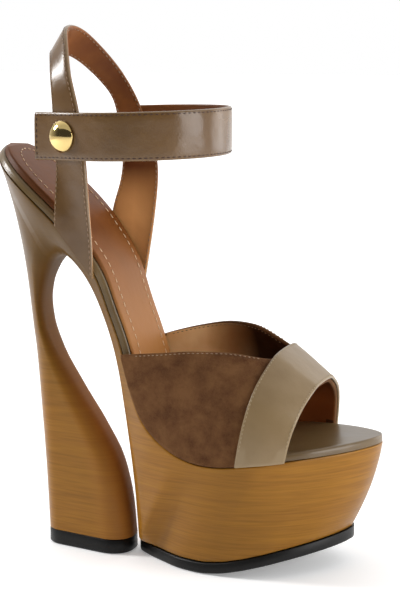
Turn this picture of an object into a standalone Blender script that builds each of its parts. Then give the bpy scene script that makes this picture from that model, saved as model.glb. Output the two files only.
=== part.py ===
# Open-toe platform wedge sandal, right shoe, ladies' size 36.
# Lengths in the tables are millimetres. X runs to the toe, Y to the inner side of the foot, Z up.
# The floor is Z = 0 and the origin lies under the ball of the foot.
import bpy
import bmesh
import math
import numpy as np
from mathutils import Vector, Matrix

MM = 0.001
ORIGIN_X = 74.0          # the ball of the foot, measured forward from the back of the heel lift
GAP = 0.3                # glue line between neighbouring pieces

# Driving dimensions
SEAT_Z = 168.3           # top of the wood at the back of the heel
BED_T = 3.1              # leather wrapped insole board
SOCK_T = 2.6             # sock lining on the board
SOCK_THIN = 1.1          # the padding of the sock thins out past the heel
SOCK_INSET = 0.8
SOCK_FRONT = 176.0       # the sock ends under the vamp, measured along the footbed
LIP_MIN = 0.7            # the wood stands at least this far outside the insole board
EDGE_R = 0.6
REAR_ROUND = 12.0        # the rear of the platform starts with the rounding of the shank
LIFT_T = 6.0
OUTSOLE_T = 4.5
OUTSOLE_LIP = 0.8
VAMP_T = 1.8
STAND_OFF = 0.8          # inside of the vamp to the edge of the insole board
BAND_T = 1.2
STRAP_T = 2.0
ANKLE_STRAP_W = 19.4
STUD_R = 6.4

# Footbed line of the wood in side view: x, z
FOOTBED_LINE = (
    (-17.6, 168.3), (5.2, 150.4), (23.8, 132.0), (31.5, 121.6), (37.2, 107.6), (43.2, 91.4), (48.6, 74.0),
    (56.2, 59.4), (66.0, 51.4), (80.0, 46.9), (100.0, 48.0), (122.0, 50.2), (145.6, 51.2))

# Insole pattern from the rounded heel to the toe: along the footbed, lateral y, medial y
INSOLE = (
    (32.0, -25.4, 25.0), (44.0, -25.3, 24.6), (58.0, -24.3, 22.6), (76.0, -23.2, 20.0), (95.0, -23.2, 18.6),
    (110.0, -24.2, 18.8), (126.0, -26.0, 20.4), (140.0, -28.4, 23.6), (153.0, -31.2, 28.6),
    (165.0, -33.6, 33.2), (177.0, -35.0, 36.0), (188.0, -34.0, 35.6), (198.0, -30.0, 32.6),
    (206.0, -24.8, 29.0), (213.0, -18.4, 25.8), (219.0, -11.4, 22.4), (223.6, -4.4, 19.0), (226.4, 1.2, 16.2),
    (228.0, 5.6, 13.4), (228.6, 8.4, 11.0))
HEEL_ROUND = 32.0

# The wood stands further out where the upper comes down on it: along the footbed, lip
WOOD_LIP = ((0.0, LIP_MIN), (112.0, LIP_MIN), (132.0, 2.3), (190.0, 2.4), (199.0, 1.9), (209.0, LIP_MIN),
            (229.0, LIP_MIN))

# Back line of the heel: z, x
HEEL_BACK = ((6.3, 1.2), (22.0, 0.6), (42.0, -0.3), (62.0, -1.5), (82.0, -3.0), (102.0, -5.2),
             (121.0, -7.6), (138.0, -10.3), (154.0, -13.6), (168.3, -17.6))

# Outline of the platform where it meets the outsole: x, lateral y, medial y
BOTTOM = (
    (44.6, -1.0, 1.0), (45.6, -3.2, 3.0), (49.5, -7.6, 7.0), (59.0, -16.0, 15.0), (70.0, -24.0, 23.0),
    (82.0, -28.0, 28.8), (94.0, -29.2, 32.2), (104.0, -28.0, 33.0), (112.0, -24.2, 31.4),
    (120.0, -17.6, 27.6), (127.0, -8.8, 22.0), (131.0, -1.0, 16.6), (132.8, 4.6, 12.4), (133.4, 7.6, 9.4))

# Toe spring, underside of the outsole: x, z
TREAD_LINE = ((40.0, 0.0), (78.0, 0.0), (86.0, 0.7), (95.0, 2.5), (104.0, 4.8), (114.0, 7.2), (127.0, 9.6),
              (136.0, 10.8))

# Sections of the wood from the heel base up, over the arch and along the platform.
# along: below zero it is the drop down the heel back, above zero it runs along the footbed.
# Then the inner point x, z, its half width, its middle y, and the corner radii outside and inside.
UNIT_ROWS = (
    (-162.0, 41.8, 6.3, 13.2, -3.4, 6.6, 11.5),
    (-146.0, 40.2, 21.0, 13.0, -3.0, 6.8, 11.0),
    (-130.0, 36.0, 38.0, 12.4, -2.4, 7.0, 10.4),
    (-114.0, 27.4, 54.0, 11.2, -1.6, 7.2, 9.4),
    (-98.0, 16.8, 70.0, 10.0, -1.0, 7.6, 8.4),
    (-84.0, 8.2, 84.0, 9.0, -0.5, 8.0, 7.4),
    (-71.0, 3.4, 96.0, 8.8, -0.2, 8.6, 7.0),
    (-58.0, 2.1, 105.0, 9.4, 0.0, 9.8, 7.2),
    (-43.0, 2.9, 112.0, 10.6, 0.0, 12.4, 7.8),
    (-27.0, 4.4, 117.0, 12.0, 0.0, 16.2, 8.4),
    (-12.0, 6.2, 120.8, 13.2, 0.0, 20.4, 8.8),
    (0.0, 7.7, 123.0, 14.2, 0.0, 23.4, 9.0),
    (4.0, 8.4, 123.8, 14.5, 0.0, 11.8, 9.0),
    (10.0, 9.4, 124.7, 14.8, 0.0, 6.0, 9.0),
    (18.0, 10.8, 125.5, 15.2, 0.0, 2.6, 9.0),
    (28.0, 12.6, 126.0, 15.6, 0.0, 1.0, 8.8),
    (40.0, 15.0, 126.0, 16.2, 0.0, 0.8, 8.4),
    (52.0, 18.6, 124.4, 16.8, -0.4, 0.7, 7.6),
    (62.0, 22.8, 120.6, 17.2, -0.8, 0.6, 6.6),
    (72.0, 27.4, 114.5, 17.2, -1.2, 0.6, 5.0),
    (84.0, 32.4, 104.8, 17.0, -1.8, 0.6, 4.6),
    (96.0, 36.6, 93.8, 17.0, -2.4, 0.6, 4.6),
    (108.0, 39.6, 82.2, 17.2, -2.6, 0.6, 5.4),
    (118.0, 41.2, 70.6, 17.0, -2.6, 0.6, 8.0),
    (127.0, 42.2, 57.0, 16.0, -2.2, 0.6, 11.0),
    (135.0, 42.9, 41.0, 14.8, -1.4, 0.6, 13.0),
    (143.0, 43.8, 22.0, 13.6, -0.8, 0.6, 13.0))

# Cup of the heel: depth under the seat, share of the seat's width
CUP = ((0.0, 1.0), (12.0, 0.89), (27.0, 0.70), (43.0, 0.52), (58.0, 0.42), (71.0, 0.38), (120.0, 0.36))

# Upper: ridge of the foot under the vamp, x and z
RIDGE = ((40.0, 133.0), (60.0, 118.0), (78.0, 105.5), (94.0, 95.2), (106.0, 87.6), (116.0, 79.8),
         (122.0, 75.0), (128.0, 70.0))
ARCH_POWER = 2.7
# Top edges of the two sides of the vamp: x, z
TOPLINE_LATERAL = ((44.8, 88.2), (52.0, 89.2), (64.0, 90.4), (76.0, 91.4), (88.0, 91.0),
                   (97.0, 89.2), (104.6, 87.0))
TOPLINE_MEDIAL = ((44.8, 88.8), (52.0, 91.0), (64.0, 93.8), (77.0, 95.6), (88.0, 94.8),
                  (97.0, 91.4), (104.5, 86.6))
# Edges of the toe band in side view: z, x
BAND_REAR = ((44.0, 95.8), (47.5, 96.3), (61.0, 98.4), (75.0, 101.2), (87.0, 104.6),
             (93.0, 107.4), (100.0, 111.0))
BAND_FRONT = ((44.0, 113.6), (50.0, 114.6), (59.5, 116.4), (71.0, 119.6), (78.0, 122.2), (84.0, 124.6))
BAND_FRONT_MEDIAL = ((44.0, 118.6), (52.0, 119.6), (62.0, 120.8), (70.0, 121.8), (78.0, 122.6),
                     (84.0, 123.4))

# Back strap, inside face: rear edge x, y, z and front edge x, y, z, from the lateral to the medial side
SLING = (
    (16.6, -26.6, 140.8, 32.6, -25.2, 119.4),
    (16.8, -26.3, 148.4, 32.9, -27.2, 136.0),
    (17.0, -25.0, 156.0, 32.6, -28.9, 151.0),
    (17.2, -23.9, 164.0, 32.2, -29.9, 164.0),
    (16.2, -23.5, 177.0, 30.4, -29.2, 177.0),
    (15.4, -23.2, 190.0, 27.8, -28.1, 190.0),
    (13.8, -20.8, 199.0, 23.8, -24.6, 201.0),
    (11.4, -15.0, 205.4, 19.4, -16.4, 212.6),
    (8.8, -7.4, 208.2, 16.0, -8.0, 218.8),
    (7.8, 0.0, 209.0, 14.8, 0.0, 220.4),
    (9.0, 7.4, 208.2, 16.2, 8.0, 218.8),
    (12.2, 15.2, 204.6, 19.8, 16.8, 212.8),
    (16.8, 22.2, 198.0, 26.4, 25.4, 201.4),
    (21.6, 26.3, 190.0, 32.0, 28.9, 190.0),
    (24.4, 27.0, 177.0, 36.8, 30.1, 177.0),
    (25.8, 27.35, 164.0, 40.4, 31.0, 164.0),
    (25.0, 26.0, 154.0, 41.4, 27.4, 148.0),
    (22.8, 24.5, 145.0, 40.4, 22.6, 130.0),
    (20.6, 24.6, 133.8, 36.6, 20.6, 105.8))
# Ankle strap, inside face in plan from the snap end round the front: x, y
ANKLE = ((7.6, -21.85), (20.0, -26.8), (31.0, -31.2), (42.0, -34.0), (54.0, -32.8), (65.4, -27.4),
         (74.4, -18.0), (79.2, -5.0), (78.8, 8.0), (74.0, 19.4), (65.5, 27.6), (55.0, 32.2), (45.0, 33.6),
         (35.0, 31.35), (25.0, 28.85))
ANKLE_Z = 176.8
ANKLE_RISE = 0.028
STUD_X = 22.2
# Turned profile of the snap stud: share of the radius, height
STUD_PROFILE = ((0.0, 0.0), (0.875, 0.0), (1.0, 0.35), (1.0, 0.9), (0.922, 1.6), (0.766, 2.5), (0.531, 3.25),
                (0.266, 3.65), (0.0, 3.8))


# Smooth curve through a table without overshoot
def slopes(xs, ys):
    step = np.diff(xs)
    rate = np.diff(ys) / step
    out = np.zeros(len(xs))
    for i in range(1, len(xs) - 1):
        if rate[i - 1] * rate[i] > 0:
            a = 2 * step[i] + step[i - 1]
            b = step[i] + 2 * step[i - 1]
            out[i] = (a + b) / (a / rate[i - 1] + b / rate[i])
    out[0] = rate[0]
    out[-1] = rate[-1]
    return out


def smooth(table, column, at):
    xs = np.array([row[0] for row in table], float)
    ys = np.array([row[column] for row in table], float)
    k = int(np.clip(np.searchsorted(xs, at) - 1, 0, len(xs) - 2))
    m = slopes(xs, ys)
    h = xs[k + 1] - xs[k]
    t = min(max((at - xs[k]) / h, 0.0), 1.0)
    return (ys[k] * (1 + 2 * t) * (1 - t) ** 2 + m[k] * h * t * (1 - t) ** 2
            + ys[k + 1] * t * t * (3 - 2 * t) + m[k + 1] * h * t * t * (t - 1))


# Footbed line as a natural spline, measured by its own length
def natural_spline(points, count):
    pts = np.array(points, float)
    knots = np.concatenate(([0.0], np.cumsum(np.linalg.norm(np.diff(pts, axis=0), axis=1))))
    n = len(knots)
    h = np.diff(knots)
    system = np.eye(n)
    right = np.zeros((n, pts.shape[1]))
    for i in range(1, n - 1):
        system[i, i - 1:i + 2] = h[i - 1], 2 * (h[i - 1] + h[i]), h[i]
        right[i] = 6 * ((pts[i + 1] - pts[i]) / h[i] - (pts[i] - pts[i - 1]) / h[i - 1])
    bend = np.linalg.solve(system, right)
    out = []
    for at in np.linspace(0.0, knots[-1], count):
        k = int(np.clip(np.searchsorted(knots, at) - 1, 0, n - 2))
        a = (knots[k + 1] - at) / h[k]
        b = 1 - a
        out.append(a * pts[k] + b * pts[k + 1]
                   + ((a ** 3 - a) * bend[k] + (b ** 3 - b) * bend[k + 1]) * h[k] ** 2 / 6)
    return np.array(out)


BED = natural_spline(FOOTBED_LINE, 1200)
BED_S = np.concatenate(([0.0], np.cumsum(np.linalg.norm(np.diff(BED, axis=0), axis=1))))
BED_LENGTH = float(BED_S[-1])


def bed(s, lift=0.0):
    x = np.interp(s, BED_S, BED[:, 0])
    z = np.interp(s, BED_S, BED[:, 1])
    a = max(s - 0.6, 0.0)
    b = min(s + 0.6, BED_LENGTH)
    dx = np.interp(b, BED_S, BED[:, 0]) - np.interp(a, BED_S, BED[:, 0])
    dz = np.interp(b, BED_S, BED[:, 1]) - np.interp(a, BED_S, BED[:, 1])
    size = math.hypot(dx, dz)
    return x - dz / size * lift, z + dx / size * lift


def bed_s(x):
    return float(np.interp(x, BED[:, 0], BED_S))


def lateral_y(s):
    if s < HEEL_ROUND:
        return INSOLE[0][1] * math.sqrt(max(1 - ((HEEL_ROUND - s) / HEEL_ROUND) ** 2, 0.0))
    return smooth(INSOLE, 1, s)


def medial_y(s):
    if s < HEEL_ROUND:
        return INSOLE[0][2] * math.sqrt(max(1 - ((HEEL_ROUND - s) / HEEL_ROUND) ** 2, 0.0))
    return smooth(INSOLE, 2, s)


# Places along the footbed, closer together at the rounded heel and toe
def stations(start, end, count, heel=True, toe=True):
    t = np.linspace(0.0, 1.0, count)
    if heel and toe:
        t = (1 - np.cos(t * math.pi)) / 2 * 0.72 + t * 0.28
    elif heel:
        t = 1 - np.cos(t * math.pi / 2)
    elif toe:
        t = np.sin(t * math.pi / 2)
    return [start + (end - start) * v for v in t]


# Collections
for old in list(bpy.data.objects):
    bpy.data.objects.remove(old, do_unlink=True)
sandal = bpy.data.collections.new("platform_wedge_sandal")
bpy.context.scene.collection.children.link(sandal)


def finish(name, bm, color, roughness=0.5, metallic=0.0):
    bmesh.ops.remove_doubles(bm, verts=bm.verts, dist=0.00002)
    bmesh.ops.recalc_face_normals(bm, faces=bm.faces)
    mesh = bpy.data.meshes.new(name)
    bm.to_mesh(mesh)
    bm.free()
    obj = bpy.data.objects.new(name, mesh)
    sandal.objects.link(obj)
    mat = bpy.data.materials.new(name + "_finish")
    mat.use_nodes = True
    shader = mat.node_tree.nodes["Principled BSDF"]
    shader.inputs["Base Color"].default_value = (*color, 1.0)
    shader.inputs["Roughness"].default_value = roughness
    shader.inputs["Metallic"].default_value = metallic
    mesh.materials.append(mat)
    return obj


def place(bm, x, y, z):
    return bm.verts.new(((x - ORIGIN_X) * MM, y * MM, z * MM))


# Closed solid through rings that each hold the same number of points
def loft(name, rings, color, roughness, end_cap=True):
    bm = bmesh.new()
    made = [[place(bm, *p) for p in ring] for ring in rings]
    count = len(made[0])
    for a, b in zip(made, made[1:]):
        for i in range(count):
            j = (i + 1) % count
            bm.faces.new((a[i], a[j], b[j], b[i]))
    caps = [bm.faces.new(made[0])]
    if end_cap:
        caps.append(bm.faces.new(made[-1]))
    bmesh.ops.triangulate(bm, faces=caps)
    return finish(name, bm, color, roughness)


# Sheet of quads over a grid of points, given a wall by Solidify
def add_grid(bm, grid):
    made = [[place(bm, *p) for p in row] for row in grid]
    for a, b in zip(made, made[1:]):
        for i in range(len(a) - 1):
            bm.faces.new((a[i], a[i + 1], b[i + 1], b[i]))


def walled(obj, thickness, outward):
    mod = obj.modifiers.new("wall", "SOLIDIFY")
    mod.thickness = thickness * MM
    mod.offset = outward
    mod.use_even_offset = True
    return obj


# Wood unit: platform, shank and sculpted heel in one
def outer_point(along):
    if along < 0:
        z = SEAT_Z + along
        return smooth(HEEL_BACK, 1, z), z
    return bed(along)


def bottom_z(x):
    return smooth(TREAD_LINE, 1, x)


CORNER = 5
MIDDLE = 3
SEAT_S = np.linspace(0.0, 110.0, 221)
SEAT = np.array([bed(s) for s in SEAT_S])
BACK_Z = np.linspace(0.0, SEAT_Z, 340)
BACK_X = np.array([smooth(HEEL_BACK, 1, z) for z in BACK_Z])


def lip(s):
    return smooth(WOOD_LIP, 1, s)


def ramp(value, start, end):
    t = min(max((value - start) / (end - start), 0.0), 1.0)
    return t * t * (3 - 2 * t)


# The seat outline sinks parallel to the back of the heel and draws in with the depth
def cup_y(x, z, sign):
    sunk = SEAT[:, 0] + np.interp(z - SEAT[:, 1] + SEAT_Z, BACK_Z, BACK_X) - BACK_X[-1]
    s = float(np.interp(x, sunk, SEAT_S))
    seat = (-lateral_y(s) if sign < 0 else medial_y(s)) + (lip(s) - EDGE_R) * min(s / 4, 1.0)
    return seat * smooth(CUP, 1, max(bed(s)[1] - z, 0.0))


def wood_section(outer, inner, outer_flat, inner_flat, outer_r, inner_r, bulge, bow=0.0, power=2.0,
                 cup=0.0, spread=0.0, rim=0.0):
    length = math.hypot(outer[0] - inner[0], outer[1] - inner[1])
    level = max(abs(outer[0] - inner[0]), 0.45 * length)
    a = min(outer_r / level, 0.72)
    b = min(inner_r / length, 0.38)
    fan = min(max(a, spread), 0.97 - b)
    shares = [fan * (1 - math.cos(k * math.pi / 2 / CORNER)) for k in range(CORNER + 1)]
    shares += [fan + (1 - fan - b) * k / (MIDDLE + 1) for k in range(1, MIDDLE + 1)]
    shares += [1 - b * (1 - math.cos(k * math.pi / 2 / CORNER)) for k in range(CORNER, -1, -1)]
    sides = []
    for sign, o_flat, i_flat in ((-1, -outer_flat[0], -inner_flat[0]), (1, outer_flat[1], inner_flat[1])):
        side = []
        o_full = o_flat + outer_r
        i_full = i_flat + inner_r
        drawn = i_full - cup_y(*inner, sign) if cup else 0.0
        for v in shares:
            x = outer[0] + (inner[0] - outer[0]) * v
            z = outer[1] + (inner[1] - outer[1]) * v
            y = o_full + (i_full - o_full) * v + bulge * 4 * v * (1 - v)
            if v < a:
                y -= outer_r * (1 - max(1 - (1 - v / a) ** power, 0.0) ** (1 / power))
            if cup:
                eased = rim * math.sqrt(1 - (1 - min(v * length / EDGE_R, 1.0)) ** 2)
                y += (cup_y(x, z, sign) + drawn * ramp(v, 0.0, 1.0) + eased - y) * cup
            if v > 1 - b:
                y -= inner_r * (1 - math.sqrt(max(1 - (1 - (1 - v) / b) ** 2, 0.0)))
            side.append((x + bow * 4 * v * (1 - v), sign * y, z))
        sides.append(side)
    return sides[0] + sides[1][::-1]


def unit_rings():
    rings = []
    rows = [(i,) + row for i, row in enumerate(UNIT_ROWS)]
    for step in range((len(rows) - 1) * 2 + 1):
        at = step / 2
        along = smooth(rows, 1, at)
        inner = (smooth(rows, 2, at), smooth(rows, 3, at))
        half = smooth(rows, 4, at)
        middle = smooth(rows, 5, at)
        outer_r = smooth(rows, 6, at)
        inner_r = min(smooth(rows, 7, at), half - 0.5)
        flat = (-0.7 * middle, -0.7 * middle)
        power = 2.0 - 0.45 * min(max((along + 110) / 60, 0.0), 1.0)
        if along >= 0:
            flat = (lateral_y(along) - lip(along) + EDGE_R, medial_y(along) + lip(along) - EDGE_R)
        inner_flat = (middle - half + inner_r, middle + half - inner_r)
        cup = ramp(along, -90.0, -40.0) * (1 - ramp(along, 40.0, 76.0))
        spread = 0.72 * ramp(along, -90.0, -40.0) * (1 - ramp(along, 0.0, 70.0))
        rim = EDGE_R * min(max(along / 10, 0.0), 1.0)
        rings.append(wood_section(outer_point(along), inner, flat, inner_flat, outer_r, inner_r, 0.0,
                                  power=power, cup=cup, spread=spread, rim=rim))
    # Platform: slanted sections from the footbed to the outsole, closer together at the toe
    first = UNIT_ROWS[-1][0] + 7.0
    count = 22
    for k in range(count + 1):
        t = k / count
        t = 0.45 * t + 0.55 * math.sin(t * math.pi / 2)
        along = first + (BED_LENGTH - 0.05 - first) * t
        x = BOTTOM[0][0] + (BOTTOM[-1][0] - BOTTOM[0][0]) * (0.62 * t + 0.38 * t ** 2)
        x = min(x, BOTTOM[-1][0] - 0.02)
        inner = (x, bottom_z(x) + OUTSOLE_T + GAP)
        flat = (lateral_y(along) - lip(along) + EDGE_R, medial_y(along) + lip(along) - EDGE_R)
        inner_flat = (smooth(BOTTOM, 1, x) + EDGE_R, smooth(BOTTOM, 2, x) - EDGE_R)
        inner_r = EDGE_R + (REAR_ROUND - EDGE_R) * (1 - ramp(t, 0.0, 0.18))
        bulge = 1.6 * math.sin(min(t * 1.4, 1.0) * math.pi / 2) * (1 - t ** 6)
        rings.append(wood_section(bed(along), inner, flat, inner_flat, EDGE_R, inner_r, bulge, 1.8 * t ** 4))
    # The two sides meet in the tip of the toe
    tip = rings[-1]
    rings.append([(p[0] + 0.12, (p[1] + q[1]) / 2, p[2]) for p, q in zip(tip, tip[::-1])])
    return rings


platform = loft("platform_and_heel", unit_rings(), (0.30, 0.14, 0.045), 0.35, end_cap=False)


# Outsole under the platform, with the toe spring
def outsole_rings():
    rings = []
    start = BOTTOM[0][0]
    end = BOTTOM[-1][0]
    count = 26
    for k in range(count + 1):
        t = (1 - math.cos(k / count * math.pi)) / 2 * 0.8 + k / count * 0.2
        x = start + (end - start) * t
        left = smooth(BOTTOM, 1, x) - OUTSOLE_LIP
        right = smooth(BOTTOM, 2, x) + OUTSOLE_LIP
        low = bottom_z(x)
        push = (t - 0.5) * 2 * OUTSOLE_LIP * abs(t - 0.5) * 2
        x += push
        edge = min(1.0, (right - left) / 4)
        rings.append(((x, left, low + OUTSOLE_T), (x, left, low + edge), (x, left + edge, low),
                      (x, right - edge, low), (x, right, low + edge), (x, right, low + OUTSOLE_T)))
    return rings


outsole = loft("forefoot_outsole", outsole_rings(), (0.012, 0.012, 0.013), 0.6)


# Heel lift: the heel base section, straight down to the floor
def lift_rings():
    row = UNIT_ROWS[0]
    back = HEEL_BACK[0][1]
    half, middle, outer_r, inner_r = row[3], row[4], row[5], row[6]
    inner_flat = (middle - half + inner_r, middle + half - inner_r)
    flat = (-0.7 * middle, -0.7 * middle)
    base = wood_section((back, 0.0), (row[1], 0.0), flat, inner_flat, outer_r, inner_r, 0.0)
    rings = []
    for z in (0.0, 0.5, LIFT_T):
        shrink = 0.5 if z == 0.0 else 0.0
        cx = (back + row[1]) / 2
        rings.append([(cx + (x - cx) * (1 - shrink / 21), y * (1 - shrink / 13), z) for x, y, _ in base])
    return rings


lift = loft("heel_lift", lift_rings(), (0.012, 0.012, 0.013), 0.6)


# Insole board and sock, layers that follow the footbed
def layer_rings(start, end, count, low, high, inset, edge, heel, toe):
    rings = []
    for s in stations(start, end, count, heel, toe):
        left = lateral_y(s) + inset
        right = medial_y(s) - inset
        if right - left < 1.0:
            mid = (left + right) / 2
            left, right = mid - 0.5, mid + 0.5
        r = min(edge, (right - left) / 3)
        x0, z0 = bed(s, low)
        x1, z1 = bed(s, high - 0.7 * edge)
        x2, z2 = bed(s, high - 0.2 * edge)
        x3, z3 = bed(s, high)
        rings.append(((x0, left, z0), (x1, left, z1), (x2, left + 0.4 * r, z2), (x3, left + 1.2 * r, z3),
                      (x3, right - 1.2 * r, z3), (x2, right - 0.4 * r, z2), (x1, right, z1), (x0, right, z0)))
    return rings


board_top = GAP + BED_T
board = loft("insole_board", layer_rings(0.2, BED_LENGTH - 0.2, 58, GAP, board_top, 0.0, 1.4, True, True),
             (0.15, 0.095, 0.06), 0.5)


def sock_edges(s):
    if s >= HEEL_ROUND:
        return lateral_y(s) + SOCK_INSET, medial_y(s) - SOCK_INSET
    share = math.sqrt(max(1 - ((HEEL_ROUND - s) / (HEEL_ROUND - SOCK_INSET)) ** 2, 0.004))
    return (INSOLE[0][1] + SOCK_INSET) * share, (INSOLE[0][2] - SOCK_INSET) * share


def sock_rings():
    rings = []
    for s in stations(SOCK_INSET, SOCK_FRONT, 44, True, False):
        left, right = sock_edges(s)
        x0, z0 = bed(s, board_top + GAP)
        fade = min(max((s - 32.0) / 48.0, 0.0), 1.0)
        pad = SOCK_T + (SOCK_THIN - SOCK_T) * fade * fade * (3 - 2 * fade)
        x1, z1 = bed(s, board_top + GAP + pad)
        rings.append(((x0, left, z0), (x1, left + 0.3, z1), (x1, right - 0.3, z1), (x0, right, z0)))
    return rings


sock = loft("sock_lining", sock_rings(), (0.32, 0.13, 0.06), 0.5)


# Upper: the foot form over the forefoot, an arch standing on the edge of the insole board
def arch_size(x, side, out):
    s = bed_s(x)
    foot = bed(s, GAP)[1]
    half = (-lateral_y(s) if side < 0 else medial_y(s)) + STAND_OFF + out
    height = smooth(RIDGE, 1, x) + out - foot
    return foot, half, height


def arch_side(x, z, side, out):
    foot, half, height = arch_size(x, side, out)
    share = min(max((z - foot) / height, 0.0), 1.0)
    return x, side * half * (1 - share ** ARCH_POWER) ** (1 / ARCH_POWER), z


def arch_angle(x, angle, out):
    side = -1 if angle < math.pi / 2 else 1
    foot, half, height = arch_size(x, side, out)
    c = abs(math.cos(angle)) ** (2 / ARCH_POWER)
    z = math.sin(angle) ** (2 / ARCH_POWER)
    return x, side * half * c, foot + height * z


VAMP_U = 16
VAMP_V = 6
TOP_STEPS = 10
SIDES = {-1: TOPLINE_LATERAL, 1: TOPLINE_MEDIAL}


def edge_column(side):
    table = SIDES[side]
    x_low = smooth(BAND_REAR, 1, 48.0)
    low = bed(bed_s(x_low), GAP)[1]
    high = table[-1][1]
    return [low + (high - low) * v / VAMP_V for v in range(VAMP_V + 1)]


def side_wall(side, out):
    table = SIDES[side]
    s_rear = bed_s(table[0][0] - 0.2)
    s_front = bed_s(smooth(BAND_REAR, 1, 48.0))
    front_z = edge_column(side)
    grid = []
    for i in range(VAMP_U + 1):
        u = i / VAMP_U
        foot = bed(s_rear + (s_front - s_rear) * u, GAP)
        x_top = table[0][0] + (table[-1][0] - table[0][0]) * u
        top = (x_top, smooth(table, 1, x_top))
        column = []
        for v in range(VAMP_V + 1):
            share = v / VAMP_V
            x = foot[0] + (top[0] - foot[0]) * share
            z = foot[1] + (top[1] - foot[1]) * share
            start = smooth(BAND_REAR, 1, front_z[0])
            bow = smooth(BAND_REAR, 1, front_z[v]) - (start + (table[-1][0] - start) * share)
            column.append(arch_side(x + bow * u ** 2, z, side, out))
        if i == VAMP_U:
            column = [arch_side(smooth(BAND_REAR, 1, z), z, side, out) for z in front_z]
        grid.append(column)
    return grid


def angle_of(x, z, side, out):
    foot, half, height = arch_size(x, side, out)
    share = min(max((z - foot) / height, 0.0), 1.0)
    angle = math.asin(share ** (ARCH_POWER / 2))
    return angle if side < 0 else math.pi - angle


def bridge(out, columns):
    lateral = edge_column(-1)
    medial = edge_column(1)
    rear = [arch_side(smooth(BAND_REAR, 1, z), z, -1, out) for z in lateral]
    angles = [angle_of(p[0], p[2], -1, out) for p in rear]
    rear_m = [arch_side(smooth(BAND_REAR, 1, z), z, 1, out) for z in medial]
    angles_m = [angle_of(p[0], p[2], 1, out) for p in rear_m]
    for k in range(1, TOP_STEPS):
        angle = angles[VAMP_V] + (angles_m[-1] - angles[VAMP_V]) * k / TOP_STEPS
        rear.append(solve_edge(BAND_REAR, angle, out, 106.0))
        angles.append(angle)
    rear += rear_m[::-1]
    angles += angles_m[::-1]
    grid = [rear]
    front = [front_edge(a, out) for a in angles]
    for c in range(1, columns + 1):
        share = c / columns
        row = []
        for p, q, angle in zip(rear, front, angles):
            row.append(arch_angle(p[0] + (q[0] - p[0]) * share, angle, out))
        grid.append(row)
    return grid


def solve_edge(table, angle, out, guess):
    x = guess
    for _ in range(12):
        x = 0.5 * x + 0.5 * smooth(table, 1, arch_angle(x, angle, out)[2])
    return arch_angle(x, angle, out)


def front_edge(angle, out):
    share = (1 - math.cos(angle)) / 2
    a = solve_edge(BAND_FRONT, angle, out, 122.0)
    b = solve_edge(BAND_FRONT_MEDIAL, angle, out, 122.0)
    return arch_angle(a[0] + (b[0] - a[0]) * share, angle, out)


def out_facing(obj, middle):
    bm = bmesh.new()
    bm.from_mesh(obj.data)
    score = sum((f.calc_center_median() - middle).dot(f.normal) * f.calc_area() for f in bm.faces)
    if score < 0:
        bmesh.ops.reverse_faces(bm, faces=bm.faces)
        bm.to_mesh(obj.data)
    bm.free()


# Moves a sheet out along its own normals, so a layer can lie on the one below
def lift_off(obj, distance):
    bm = bmesh.new()
    bm.from_mesh(obj.data)
    bm.normal_update()
    moves = [(v, v.normal * v.calc_shell_factor() * distance * MM) for v in bm.verts]
    for v, move in moves:
        v.co += move
    bm.to_mesh(obj.data)
    bm.free()


bm = bmesh.new()
add_grid(bm, side_wall(-1, 0.0))
add_grid(bm, side_wall(1, 0.0))
add_grid(bm, bridge(0.0, 6))
vamp = finish("vamp", bm, (0.14, 0.075, 0.04), 0.9)
out_facing(vamp, Vector(((85 - ORIGIN_X) * MM, 0.0, 60 * MM)))
walled(vamp, VAMP_T, 1.0)

bm = bmesh.new()
add_grid(bm, bridge(0.0, 6))
band = finish("toe_band", bm, (0.22, 0.155, 0.09), 0.45)
out_facing(band, Vector(((108 - ORIGIN_X) * MM, 0.0, 60 * MM)))
lift_off(band, VAMP_T + GAP)
walled(band, BAND_T, 1.0)


# Ankle strap and back strap, joined where they cross
def sling_grid():
    rear = natural_spline([row[:3] for row in SLING], 61)
    front = natural_spline([row[3:] for row in SLING], 61)
    return [[tuple(a), tuple((a + b) / 2), tuple(b)] for a, b in zip(rear, front)]


def ankle_grid():
    path = natural_spline(ANKLE, 49)
    grid = []
    for x, y in path:
        z = ANKLE_Z + ANKLE_RISE * (x - STUD_X)
        grid.append([(x, y, z - ANKLE_STRAP_W / 2), (x, y, z), (x, y, z + ANKLE_STRAP_W / 2)])
    return grid


bm = bmesh.new()
add_grid(bm, sling_grid())
straps = finish("ankle_straps", bm, (0.15, 0.10, 0.062), 0.45)
out_facing(straps, Vector(((35 - ORIGIN_X) * MM, 0.0, 170 * MM)))
walled(straps, STRAP_T, 1.0)

bm = bmesh.new()
add_grid(bm, ankle_grid())
ring = finish("ankle_strap_loop", bm, (0.15, 0.10, 0.062), 0.45)
out_facing(ring, Vector(((45 - ORIGIN_X) * MM, 0.0, 177 * MM)))
walled(ring, STRAP_T, 1.0)

cutters = bpy.data.collections.new("cutters")
bpy.context.scene.collection.children.link(cutters)
sandal.objects.unlink(ring)
cutters.objects.link(ring)
ring.hide_render = True
ring.display_type = "WIRE"
join = straps.modifiers.new("join", "BOOLEAN")
join.operation = "UNION"
join.solver = "EXACT"
join.object = ring


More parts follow.
